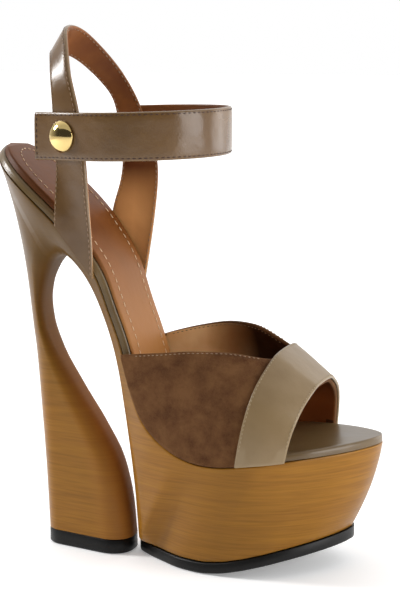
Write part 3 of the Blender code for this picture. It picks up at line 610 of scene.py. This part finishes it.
def platform_slices():
    first = UNIT_ROWS[-1][0] + FIRST_SLICE
    for k in range(SLICES + 1):
        t = 0.45 * k / SLICES + 0.55 * math.sin(k / SLICES * math.pi / 2)
        at = first + (BED_LENGTH - 0.05 - first) * t
        x = BOTTOM[0][0] + (BOTTOM[-1][0] - BOTTOM[0][0]) * (0.62 * t + 0.38 * t ** 2)
        x = min(x, BOTTOM[-1][0] - 0.02)
        inner = (x, smooth(TREAD_LINE, 1, x) + OUTSOLE_T + GAP)
        inner_flat = (smooth(BOTTOM, 1, x) + EDGE_R, smooth(BOTTOM, 2, x) - EDGE_R)
        inner_r = EDGE_R + (REAR_ROUND - EDGE_R) * (1 - ramp(t, 0.0, REAR_END))
        bulge = BULGE * math.sin(min(t * 1.4, 1.0) * math.pi / 2) * (1 - t ** 6)
        yield wood_section(bed(at), inner, seat_flat(at), inner_flat, EDGE_R, inner_r, bulge,
                           NOSE_BOW * t ** 4)


heel_sections = list(heel_and_shank())
sections = heel_sections + list(platform_slices())
nose, nose_shares = sections[-1]
zipped = [(p[0] + NOSE_X, (p[1] + q[1]) / 2, p[2]) for p, q in zip(nose, nose[::-1])]
sections.append((zipped, nose_shares))
BREAST_START, BREAST_FADE = 0.62, 30     # share of the section, and sections over which it fades out
# painted light on the inner breast: the share of the painted glow of bounced light, fading out along the
# shank
painted_bounce_share = []
for i, (points, shares) in enumerate(sections):
    fade = min(max((len(heel_sections) - i) / BREAST_FADE, 0.0), 1.0)
    painted_bounce_share.append([fade * min(max((v - BREAST_START) / (1 - BREAST_START), 0.0), 1.0) for v in shares])
bm = sweep([points for points, _ in sections], "breast", painted_bounce_share, end_cap=False)
bmesh.ops.remove_doubles(bm, verts=bm.verts, dist=0.00001)
piece("wood_unit", bm, [wood], "wood_look_unit", "platform_and_heel", sharp=60.0)

# %% [markdown]
# ## Rubber outsole and heel lift
# Both are flat rubber pieces with eased edges. The outsole follows the platform's outline and rises
# with the toe spring, so it is swept along the shoe. The lift is its outline pulled straight up.

# %% Outsole and lift
OUTSOLE_LIP, LIFT_T, EASE, TOP_EASE = 0.8, 6.0, 0.9, 0.4


def outsole_section(t):
    x = BOTTOM[0][0] + (BOTTOM[-1][0] - BOTTOM[0][0]) * t
    left, right = smooth(BOTTOM, 1, x) - OUTSOLE_LIP, smooth(BOTTOM, 2, x) + OUTSOLE_LIP
    low = smooth(TREAD_LINE, 1, x)
    x += (t - 0.5) * 2 * OUTSOLE_LIP * abs(t - 0.5) * 2
    ease = min(EASE, (right - left) / 4)
    low_left = [(x, left + ease * (1 - math.sin(a)), low + ease * (1 - math.cos(a)))
                for a in np.linspace(math.pi / 2, 0, 5)]
    low_right = [(x, right - (p[1] - left), p[2]) for p in low_left[::-1]]
    top = low + OUTSOLE_T
    return [(x, left + TOP_EASE, top), (x, left, top - TOP_EASE)] + low_left + low_right + [
        (x, right, top - TOP_EASE), (x, right - TOP_EASE, top)]


bm = sweep([outsole_section(t) for t in along(0.0, 1.0, 61, 0.8)])
piece("rubber_outsole", bm, [rubber], "sole_rubber", "forefoot_outsole", sharp=50.0)

_, front_x, _, half, middle, outer_r, inner_r = UNIT_ROWS[0]
base, _ = wood_section((HEEL_BACK[0][1], 0.0), (front_x, 0.0), (HEEL_TWIST * middle,) * 2,
                       (middle - half + inner_r, middle + half - inner_r), outer_r, inner_r, 0.0)
middle_x = (HEEL_BACK[0][1] + front_x) / 2
HALF_LENGTH, HALF_WIDTH = 21, 13        # of the lift, about
# height, how far the outline is drawn in
levels = ((0.0, 0.6), (0.15, 0.3), (0.5, 0.0), (LIFT_T - 0.3, 0.0), (LIFT_T, 0.25))
bm = sweep([[(middle_x + (x - middle_x) * (1 - pull / HALF_LENGTH), y * (1 - pull / HALF_WIDTH), z)
             for x, y, _ in base] for z, pull in levels])
piece("rubber_heel_lift", bm, [rubber], "sole_rubber", "heel_lift", sharp=50.0)

# %% [markdown]
# ## Footbed
# The insole board is wrapped in taupe leather, which rolls over its edge: that soft edge is what
# shows at the open toe and round the heel. The tan sock lies on it. It is cushioned, so its face
# is crowned and its edge is rounded, and it ends out of sight under the vamp.

# %% Board and sock
BED_T, SOCK_T, SOCK_THIN, SOCK_INSET, SOCK_FRONT = 3.1, 2.6, 1.1, 0.8, 176.0
BOARD_TOP = GAP + BED_T
BOARD_END, LEAST_W = 0.2, 1.0       # the board stops just short of its pointed ends
WRAP_ROLL, SOCK_ROLL, SOCK_CROWN, PAD_END = 1.7, 1.2, 0.25, 80.0


def layer_section(s, left, right, low, high, roll, crown):
    width = right - left
    roll_y = min(roll, width / 3)
    turn = np.linspace(0, math.pi / 2, 6)
    shape = [(left, low)]
    shape += [(left + roll_y * (1 - math.cos(a)), high - roll * (1 - math.sin(a))) for a in turn]
    flat = np.linspace(left + roll_y, right - roll_y, 12)[1:-1]
    shape += [(y, high + crown * (1 - ((2 * y - left - right) / width) ** 2)) for y in flat]
    shape += [(right - roll_y * (1 - math.cos(a)), high - roll * (1 - math.sin(a))) for a in turn[::-1]]
    shape += [(right, low)]
    ring = []
    for y, lift in shape:
        x, z = bed(s, lift)
        ring.append((x, y, z))
    return ring


def board_sections():
    for s in along(BOARD_END, BED_LENGTH - BOARD_END, 110, 0.72):
        left, right = side_y(s, 1), side_y(s, 2)
        if right - left < LEAST_W:
            left, right = ((left + right + side * LEAST_W) / 2 for side in (-1, 1))
        yield layer_section(s, left, right, GAP, BOARD_TOP, WRAP_ROLL, 0.0)


def sock_pad(s):
    return SOCK_T + (SOCK_THIN - SOCK_T) * ramp(s, HEEL_ROUND, PAD_END)


def sock_edges(s):
    if s >= HEEL_ROUND:
        return side_y(s, 1) + SOCK_INSET, side_y(s, 2) - SOCK_INSET
    share = math.sqrt(max(1 - ((HEEL_ROUND - s) / (HEEL_ROUND - SOCK_INSET)) ** 2, 0.0003))
    return (INSOLE[0][1] + SOCK_INSET) * share, (INSOLE[0][2] - SOCK_INSET) * share


def sock_sections():
    low = BOARD_TOP + GAP
    for t in np.linspace(0, math.pi / 2, 90):
        s = SOCK_INSET + (SOCK_FRONT - SOCK_INSET) * (1 - math.cos(t))
        left, right = sock_edges(s)
        pad = sock_pad(s)
        ease = min(1.0, (s - SOCK_INSET) / 5.0 + 0.35)      # thinner at the very back
        roll = min(pad * ease, SOCK_ROLL) * 0.95
        yield layer_section(s, left, right, low, low + pad * ease, roll, SOCK_CROWN)


piece("footbed_wrap", sweep(list(board_sections())), [wrap_leather], "footbed_leather", "insole_board")
rings = list(sock_sections())
RIM_POINTS = 5      # points of the section on each cut side, from the low corner up
# the cut rim of the sock is painted darkest, a painted shade of the gap beside the wrap
rim = [[1.0 if min(j, len(ring) - 1 - j) < RIM_POINTS else 0.0 for j in range(len(ring))] for ring in rings]
sock = piece("padded_sock", sweep(rings, "edge", rim), [sock_tan], "sock_leather", "sock_lining")

# %% [markdown]
# ## Vamp and toe band
# These two are sheets stretched over the toes, and the CAD nodes already have their cut and their
# walls. A copy of such a node is merged, its triangles are paired into quads again and a Subdivision
# Surface rounds it. Creases keep the cut corners. A face that looks towards the foot gets lining.

# %% Upper helpers
FOOT_AXIS_Z, TURNED_IN = 0.055, -0.3
RIM_ANGLE = 50.0
CORNER_CREASE, RIM_CREASE = 0.95, 0.45


def copy_of(node):
    bm = bmesh.new()
    bm.from_mesh(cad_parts[node].data)
    bmesh.ops.remove_doubles(bm, verts=bm.verts, dist=0.00002)
    bmesh.ops.join_triangles(bm, faces=bm.faces, angle_face_threshold=math.radians(40),
                             angle_shape_threshold=math.radians(80))
    return bm


def looks_in(face):
    centre = face.calc_center_median()
    out = centre - Vector((centre.x, 0.0, FOOT_AXIS_Z))
    return face.normal.dot(out.normalized()) < TURNED_IN


def cut_rim(bm):
    """The sharp edges of a sheet, and the narrow faces of its cut rim, which lie between them."""
    sharp = {e for e in bm.edges if e.calc_face_angle(0.0) > math.radians(RIM_ANGLE)}
    return sharp, {f for f in bm.faces if sum(e in sharp for e in f.edges) >= 2}


def dress_sheet(bm):
    bm.normal_update()
    crease = bm.edges.layers.float.new("crease_edge")
    edge_layer = bm.verts.layers.float.new("edge")
    sharp, rim = cut_rim(bm)
    for e in sharp:
        e[crease] = CORNER_CREASE if all(f in rim for f in e.link_faces) else RIM_CREASE
    for f in rim:
        for v in f.verts:
            v[edge_layer] = 1.0
    for f in bm.faces:
        f.material_index = 1 if looks_in(f) and f not in rim else 0


print("a rim is found by edges sharper than", RIM_ANGLE, "degrees")


# %% Vamp and band
def stretched_sheet(name, node, materials, slot):
    bm = copy_of(node)
    dress_sheet(bm)
    made = piece(name, bm, materials, slot, node, sharp=180.0, recalc=False)
    rounded = made.modifiers.new("rounded", "SUBSURF")
    rounded.levels = rounded.render_levels = 2
    if "custom_normal" in made.data.attributes:
        made.data.attributes.remove(made.data.attributes["custom_normal"])
    return made


stretched_sheet("suede_vamp", "vamp", [vamp_suede, vamp_lining], "vamp_suede")
band = stretched_sheet("leather_toe_band", "toe_band", [band_leather, band_leather], "band_leather")

# %% [markdown]
# ## Straps
# A strap is two leathers glued back to back with eased edges, taupe outside and tan inside. Its
# section is a thin rounded rectangle, swept round the ankle. The back strap changes its width and its
# lean all the way, so its two edges are given as rows of points. The ankle strap lies outside it.

# %% Tables of the straps
STRAP_T, STRAP_EASE, STRAP_CROWN = 2.0, 0.75, 0.25
# rear edge x, y, z and front edge x, y, z of the inside face, from the lateral to the medial side
SLING = (
    (16.6, -26.6, 140.8, 32.6, -25.2, 119.4),
    (16.8, -26.3, 148.4, 32.9, -27.2, 136.0),
    (17.0, -25.0, 156.0, 32.6, -28.9, 151.0),
    (17.2, -23.9, 164.0, 32.2, -29.9, 164.0),
    (16.2, -23.5, 177.0, 30.4, -29.2, 177.0),
    (15.4, -23.2, 190.0, 27.8, -28.1, 190.0),
    (13.8, -20.8, 199.0, 23.8, -24.6, 201.0),
    (11.4, -15.0, 205.4, 19.4, -16.4, 212.6),
    (8.8, -7.4, 208.2, 16.0, -8.0, 218.8),
    (7.8, 0.0, 209.0, 14.8, 0.0, 220.4),
    (9.0, 7.4, 208.2, 16.2, 8.0, 218.8),
    (12.2, 15.2, 204.6, 19.8, 16.8, 212.8),
    (16.8, 22.2, 198.0, 26.4, 25.4, 201.4),
    (21.6, 26.3, 190.0, 32.0, 28.9, 190.0),
    (24.4, 27.0, 177.0, 36.8, 30.1, 177.0),
    (25.8, 27.35, 164.0, 40.4, 31.0, 164.0),
    (25.0, 26.0, 154.0, 41.4, 27.4, 148.0),
    (22.8, 24.5, 145.0, 40.4, 22.6, 130.0),
    (20.6, 24.6, 133.8, 36.6, 20.6, 105.8))
# inside face in plan, from the snap end round the front: x, y
ANKLE = ((7.6, -21.85), (20.0, -26.8), (31.0, -31.2), (42.0, -34.0), (54.0, -32.8), (65.4, -27.4),
         (74.4, -18.0), (79.2, -5.0), (78.8, 8.0), (74.0, 19.4), (65.5, 27.6), (55.0, 32.2), (45.0, 33.6),
         (35.0, 31.35), (25.0, 28.85))
ANKLE_STRAP_W, ANKLE_Z, ANKLE_RISE, STUD_X = 19.4, 176.8, 0.028, 22.2
print("ankle strap", ANKLE_STRAP_W, "mm wide, back strap in", len(SLING), "rows")

# %% Straps
LEG = np.array((35.0, 0.0))     # the middle of the ankle in plan
ACROSS = 14                     # points across each face of a strap
SLING_RINGS, ANKLE_RINGS = 150, 140
# the painted edge highlight of the straps reaches this far in from their edges
EDGE_WIDTH = 2.0                # how far in from its edges the leather is worn


def strap_frames(low, high):
    """Inside edge points with the width direction and the outward normal at each station."""
    middle = (low + high) / 2
    run = np.gradient(middle, axis=0)
    wide = high - low
    normal = np.cross(run, wide)
    normal /= np.linalg.norm(normal, axis=1)[:, None]
    out = middle[:, :2] - LEG
    flip = np.sum(normal[:, :2] * out, axis=1).mean() < 0
    return low, wide, -normal if flip else normal


def strap_crown(share):
    """How far the face of a strap is domed, by the share of the way across."""
    return STRAP_CROWN * (1 - (2 * share - 1) ** 4)


def strap_shape(width):
    """Section of a strap: across, out from the inside face, and which side the face after it is on."""
    e = STRAP_EASE
    arc = np.linspace(0, math.pi / 2, 4)
    top = [(e - e * math.sin(a), STRAP_T - e + e * math.cos(a), 0) for a in arc[::-1]]
    across = np.linspace(e, width - e, ACROSS)[1:-1]
    top += [(y, STRAP_T + strap_crown(y / width), 0) for y in across]
    top += [(width - e + e * math.sin(a), STRAP_T - e + e * math.cos(a), 0) for a in arc]
    low = [(width - e + e * math.cos(a), e - e * math.sin(a), 1) for a in arc]
    low += [(y, 0.0, 1) for y in across[::-1]]
    low += [(e - e * math.sin(a), e - e * math.cos(a), 1) for a in arc]
    return top + low


def strap(name, low, high):
    low, wide, normal = strap_frames(low, high)
    rings, values = [], []
    for p, w, n in zip(low, wide, normal):
        width = float(np.linalg.norm(w))
        shape = strap_shape(width)
        rings.append([tuple(p + w / width * y + n * t) for y, t, _ in shape])
        values.append([max(0.0, 1 - min(y, width - y) / EDGE_WIDTH) for y, _, _ in shape])
    slots = [side for _, _, side in shape]
    piece(name, sweep(rings, "edge", values, slots), [strap_leather, lining_leather], "strap_leather",
          "ankle_straps", sharp=50.0)
    return low, wide, normal


sling_frames = strap("back_strap", spline([row[:3] for row in SLING], SLING_RINGS),
                     spline([row[3:] for row in SLING], SLING_RINGS))
plan = spline(ANKLE, ANKLE_RINGS)
height = ANKLE_Z + ANKLE_RISE * (plan[:, 0] - STUD_X)
ankle_frames = strap("ankle_strap", np.column_stack((plan, height - ANKLE_STRAP_W / 2)),
                     np.column_stack((plan, height + ANKLE_STRAP_W / 2)))

# %% [markdown]
# ## Snap stud
# The cap of the snap is a turned dome with a thin rim, so its half outline is spun once round its
# axis and then set on the strap.

# %% Stud
STUD_R, STUD_SLOPE, STUD_LIFT = 6.4, -0.4, 2.3
# share of the radius, height
STUD_PROFILE = (
    (0.0, 0.0), (0.875, 0.0), (0.97, 0.12), (1.0, 0.4), (1.0, 0.8), (0.975, 1.1), (0.93, 1.5), (0.86, 2.0),
    (0.766, 2.5), (0.65, 2.93), (0.531, 3.25), (0.4, 3.5), (0.266, 3.66), (0.13, 3.77), (0.0, 3.8))
bm = bmesh.new()
line = [bm.verts.new((r * STUD_R * 0.001, 0.0, h * 0.001)) for r, h in STUD_PROFILE]
edges = [bm.edges.new(pair) for pair in zip(line, line[1:])]
bmesh.ops.spin(bm, geom=line + edges, cent=(0, 0, 0), axis=(0, 0, 1), angle=2 * math.pi, steps=48,
               use_merge=True)
bmesh.ops.remove_doubles(bm, verts=bm.verts, dist=0.000005)
stud_out = Vector((STUD_SLOPE, -1.0, 0.0)).normalized()
seat = spot((STUD_X, ANKLE[0][1] + STUD_SLOPE * (STUD_X - ANKLE[0][0]), ANKLE_Z))
seat += stud_out * STUD_LIFT * 0.001
turn = Vector((0, 0, 1)).rotation_difference(stud_out).to_matrix().to_4x4()
bmesh.ops.transform(bm, matrix=Matrix.Translation(seat) @ turn, verts=bm.verts)
piece("gold_snap_stud", bm, [gold], "stud_metal", "snap_stud", sharp=70.0)

# %% [markdown]
# ## Stitches
# Each visible stitch is a short length of thread that dips into the leather at both ends. A small
# stretched ball does for it. Rows follow the edges of straps, vamp and band about 1 mm in, with fine
# stitches of 1.1 to 1.6 mm in a thread of about 0.4 mm. The sock has one long row of larger stitches
# in a paler thread. They are set one by one along a line on the surface, because a flat row would not
# follow leather that bends in two directions.


# %% Stitch rows
def stitch_row(name, points, normals, material, slot, length, pitch, thread):
    points, normals = np.array(points, float), np.array(normals, float)
    gone = travel(points)
    bm = bmesh.new()
    for at in np.arange(pitch / 2, gone[-1] - pitch / 2, pitch):
        place, ahead, up = (np.array([np.interp(x, gone, a[:, i]) for i in range(3)])
                            for x, a in ((at, points), (at + STITCH_AHEAD, points), (at, normals)))
        run = Vector(ahead - place).normalized()
        out = Vector(up).normalized()
        side = out.cross(run).normalized()
        out = run.cross(side)
        basis = Matrix((run, side, out)).transposed().to_4x4()
        size = Matrix.Diagonal((length / 2000, thread / 2000, thread / 2600, 1.0))
        bmesh.ops.create_uvsphere(bm, u_segments=6, v_segments=4, radius=1.0,
                                  matrix=Matrix.Translation(spot(place + up * STITCH_LIFT)) @ basis @ size)
    return piece(name, bm, [material], slot, sharp=180.0)


def strap_row(frames, high, inside):
    low, wide, normal = frames
    width = np.linalg.norm(wide, axis=1)[:, None]
    share = 1 - STITCH_INSET / width if high else STITCH_INSET / width
    if inside:
        return low + wide * share, -normal
    return low + wide * share + normal * (STRAP_T + strap_crown(share)), normal


STITCH_INSET, STITCH_LIFT, STITCH_AHEAD = 1.1, 0.08, 0.4
FINE = {"length": 1.6, "pitch": 2.3, "thread": 0.42}
STRAP_ROWS = (("ankle_strap_stitches_", ankle_frames, False, brown_thread),
              ("back_strap_stitches_", sling_frames, False, tan_thread),
              ("back_strap_lining_stitches_", sling_frames, True, tan_thread))
for high, edge in ((False, "low"), (True, "high")):
    for name, frames, inside, thread in STRAP_ROWS:
        stitch_row(name + edge, *strap_row(frames, high, inside), thread, "strap_leather", **FINE)
low, wide, normal = (part[1] for part in ankle_frames)
SNAP_POINTS = 12
shares = np.linspace(0.08, 0.92, SNAP_POINTS)[:, None]
stitch_row("snap_end_stitches", low + wide * shares + normal * (STRAP_T + strap_crown(shares)),
           np.tile(normal, (SNAP_POINTS, 1)), brown_thread, "strap_leather", **FINE)

# %% Stitch row on the sock
SOCK_STITCH_INSET = 6.2
reach = HEEL_ROUND - SOCK_INSET
ring = [(s, sock_edges(s)[0]) for s in np.linspace(SOCK_FRONT, HEEL_ROUND, 120)[:-1]]
for a in np.linspace(-math.pi / 2, math.pi / 2, 60):
    wide = sock_edges(HEEL_ROUND)[0 if a < 0 else 1]
    ring.append((HEEL_ROUND - reach * math.cos(a), abs(wide) * math.sin(a)))
ring += [(s, sock_edges(s)[1]) for s in np.linspace(HEEL_ROUND, SOCK_FRONT, 120)[1:]]
ring = np.array(ring)
run = np.gradient(ring, axis=0)
run /= np.linalg.norm(run, axis=1)[:, None] + 1e-9
inward = np.column_stack((-run[:, 1], run[:, 0]))
if inward[0, 1] < 0:
    inward = -inward
flat_row = ring + inward * SOCK_STITCH_INSET
points, normals = [], []
for s, y in flat_row:
    s = max(s, 1.0)
    left, right = sock_edges(s)
    crown = SOCK_CROWN * (1 - ((2 * y - left - right) / (right - left)) ** 2)
    top = BOARD_TOP + GAP + sock_pad(s) + crown
    x0, z0 = bed(s, top)
    x1, z1 = bed(s, top + 1.0)
    points.append((x0, y, z0))
    normals.append((x1 - x0, 0.0, z1 - z0))
stitch_row("sock_stitches", points, normals, beige_thread, "sock_leather", length=2.6, pitch=3.5,
           thread=0.55)


# %% Stitch rows on the vamp
def skin_of(node, inside=False):
    """One skin of a sheet as a search tree, and how the points along its cut edge follow each other."""
    bm = copy_of(node)
    bm.normal_update()
    bm.verts.index_update()
    sharp, rim = cut_rim(bm)
    skin = {f for f in bm.faces if f not in rim and looks_in(f) == inside}
    cut = [e for e in sharp if any(f in rim for f in e.link_faces) and any(f in skin for f in e.link_faces)]
    tree = BVHTree.FromPolygons([v.co.copy() for v in bm.verts], [[v.index for v in f.verts] for f in skin])
    ties = {}
    for e in cut:
        for v in e.verts:
            ties.setdefault(v.index, []).append(e.other_vert(v).index)
    places = {v.index: v.co.copy() for v in bm.verts}
    bm.free()
    return tree, ties, places


def cut_line(ties, places, keep, first):
    """The points that pass a test, walked along the cut edge from the one named first."""
    left = {i for i in ties if keep(places[i])}
    here = min(left, key=lambda i: first(places[i]))
    line = []
    while here is not None:
        line.append(places[here])
        left.discard(here)
        near = [i for i in ties[here] if i in left]
        here = near[0] if near else None
    return line


def inset_row(line):
    """A row beside a cut edge of the vamp, on the side of the edge where the skin lies nearer."""
    line = np.array(line)
    gone = travel(line)
    points, normals = [], []
    for at in np.linspace(0.0, gone[-1] - AHEAD, ROW_POINTS):
        p, q = (Vector([np.interp(x, gone, line[:, i]) for i in range(3)]) for x in (at, at + AHEAD))
        normal = tree.find_nearest(p)[1]
        side = normal.cross((q - p).normalized()) * EDGE_INSET
        found = min((tree.find_nearest(p + s) for s in (side, -side)), key=lambda hit: hit[3])
        points.append(in_mm(found[0]))
        normals.append(tuple(found[1]))
    return points, normals


EDGE_INSET, AHEAD, ROW_POINTS = 0.0009, 0.0015, 160
TOPLINE_Z, TOPLINE_FRONT, TOE_MIDDLE = 0.0866, 0.0295, 0.004
for inside, label in ((False, "vamp"), (True, "vamp_lining")):
    tree, ties, places = skin_of("vamp", inside)
    for side, name in ((-1, "lateral"), (1, "medial")):
        line = cut_line(ties, places, lambda c: (c.y * side > TOE_MIDDLE and c.z > TOPLINE_Z
                                                   and c.x < TOPLINE_FRONT), lambda c: -c.x)
        stitch_row(label + "_topline_stitches_" + name, *inset_row(line), tan_thread, "vamp_suede",
                   length=1.1, pitch=1.9, thread=0.42)


# %% Stitch rows on the band
def row_on_band(line, inward):
    """A row beside a cut edge of the toe band, set on the rounded surface that is rendered."""
    line = spline(line, ROW_POINTS)
    points, normals = [], []
    for place, ahead in zip(line, np.gradient(line, axis=0)):
        flat_normal = tree.find_nearest(Vector(place))[1]
        side = flat_normal.cross(Vector(ahead).normalized())
        side *= inward if side.x > 0 else -inward
        hit = band_skin.find_nearest(Vector(place) + side * EDGE_INSET + flat_normal * ABOVE)
        points.append(in_mm(hit[0]))
        normals.append(tuple(hit[1]))
    return points, normals


ABOVE, BAND_REAR, BAND_FRONT, BAND_LOW = 0.0006, 0.036, 0.0415, 0.052
bpy.context.view_layer.update()
band_skin = BVHTree.FromObject(band, bpy.context.evaluated_depsgraph_get())
tree, ties, places = skin_of("toe_band")
for name, inward, keep in (("rear", 1.0, lambda c: c.x < BAND_REAR and c.z > BAND_LOW),
                           ("front", -1.0, lambda c: c.x > BAND_FRONT and c.z > BAND_LOW)):
    line = cut_line(ties, places, keep, lambda c: c.y)
    stitch_row("band_stitches_" + name, *row_on_band(line, inward), taupe_thread, "band_leather",
               length=1.1, pitch=1.7, thread=0.36)

# %% [markdown]
# ## Studio
# The floor is one large sheet of white paper that glows a little, as on a light table, and more
# towards the back, so that it stays white up to the horizon and keeps a soft shadow under the shoe.
# Large area lights are used, because their mirror images are what draws the soft vertical highlights
# on the lacquer and the bright patches on the gold. The end of the studio behind the camera is unlit,
# which keeps the leather that faces it deep in tone.

# %% Floor
FLOOR_HALF, FLOOR_DROP = 6.0, 0.0002
bm = bmesh.new()
bmesh.ops.create_grid(bm, x_segments=1, y_segments=1, size=FLOOR_HALF)
paper, paper_shader, paper_coords = new_material("white_paper")
depth = add(paper, "SeparateXYZ", {"Vector": paper_coords})["Y"]
glow = add(paper, "MapRange", {"Value": depth, "From Min": 0.2, "From Max": 1.6, "To Min": 0.25,
                               "To Max": 0.75})
set_sockets(paper, paper_shader, {
    "Base Color": (0.94, 0.94, 0.94, 1.0), "Roughness": 0.9, "Emission Color": (1.0, 1.0, 1.0, 1.0),
    "Emission Strength": glow["Result"]})
mesh = bpy.data.meshes.new("floor")
bm.to_mesh(mesh)
bm.free()
mesh.materials.append(paper)
floor = bpy.data.objects.new("floor", mesh)
floor.location.z = -FLOOR_DROP
bpy.context.scene.collection.objects.link(floor)
print("floor", 2 * FLOOR_HALF, "m wide")

# %% World and softboxes
world = bpy.data.worlds.new("studio")
bpy.context.scene.world = world
world.use_nodes = True
PHOTO_SIDE = Vector((0.05, -0.97, 0.2)).normalized()    # the unlit end of the studio, behind the camera
direction = add(world, "TexCoord", {})["Generated"]
facing = add(world, "VectorMath", {0: direction, 1: PHOTO_SIDE}, operation="DOT_PRODUCT")
dim = add(world, "MapRange", {"Value": facing["Value"], "From Min": -0.85, "From Max": 0.5, "To Min": 1.0,
                              "To Max": 0.06})
set_sockets(world, world.node_tree.nodes["Background"], {
    "Color": (1.0, 1.0, 1.0, 1.0), "Strength": dim["Result"]})


def softbox(name, place, aim, size, power):
    lamp = bpy.data.lights.new(name, "AREA")
    lamp.shape = "RECTANGLE"
    lamp.size, lamp.size_y = size
    lamp.energy = power
    made = bpy.data.objects.new(name, lamp)
    made.location = place
    made.rotation_euler = (Vector(aim) - Vector(place)).to_track_quat("-Z", "Y").to_euler()
    bpy.context.scene.collection.objects.link(made)


MIDDLE_OF_SHOE = (0.0, 0.0, 0.1)
softbox("left_softbox", (-0.90, -0.12, 0.62), MIDDLE_OF_SHOE, (0.22, 0.30), 7.4)
softbox("right_softbox", (0.95, -0.12, 0.30), MIDDLE_OF_SHOE, (0.60, 0.55), 5.6)
softbox("rear_right_softbox", (0.72, 0.70, 0.25), MIDDLE_OF_SHOE, (0.40, 0.45), 1.6)
softbox("ceiling", (0.0, 2.2, 2.2), (0.0, 2.2, 0.0), (6.0, 9.0), 92.0)
print("lit by", [lamp.name for lamp in bpy.data.lights])

# %% Camera
LENS_MM, SENSOR_MM = 111.258, 36.0
CAMERA_PLACE, CAMERA_DOWN, CAMERA_ROUND = (0.230778, -0.722803, 0.225532), 8.76835, 18.0
camera = bpy.data.cameras.new("photo_view")
camera.sensor_width = SENSOR_MM
camera.lens = LENS_MM
made = bpy.data.objects.new("photo_view", camera)
made.location = CAMERA_PLACE
made.rotation_euler = (math.radians(90 - CAMERA_DOWN), 0.0, math.radians(CAMERA_ROUND))
bpy.context.scene.collection.objects.link(made)
bpy.context.scene.camera = made
bpy.context.scene.view_settings.view_transform = "Standard"
print("camera", round((made.location - Vector(MIDDLE_OF_SHOE)).length, 2), "m from the shoe")
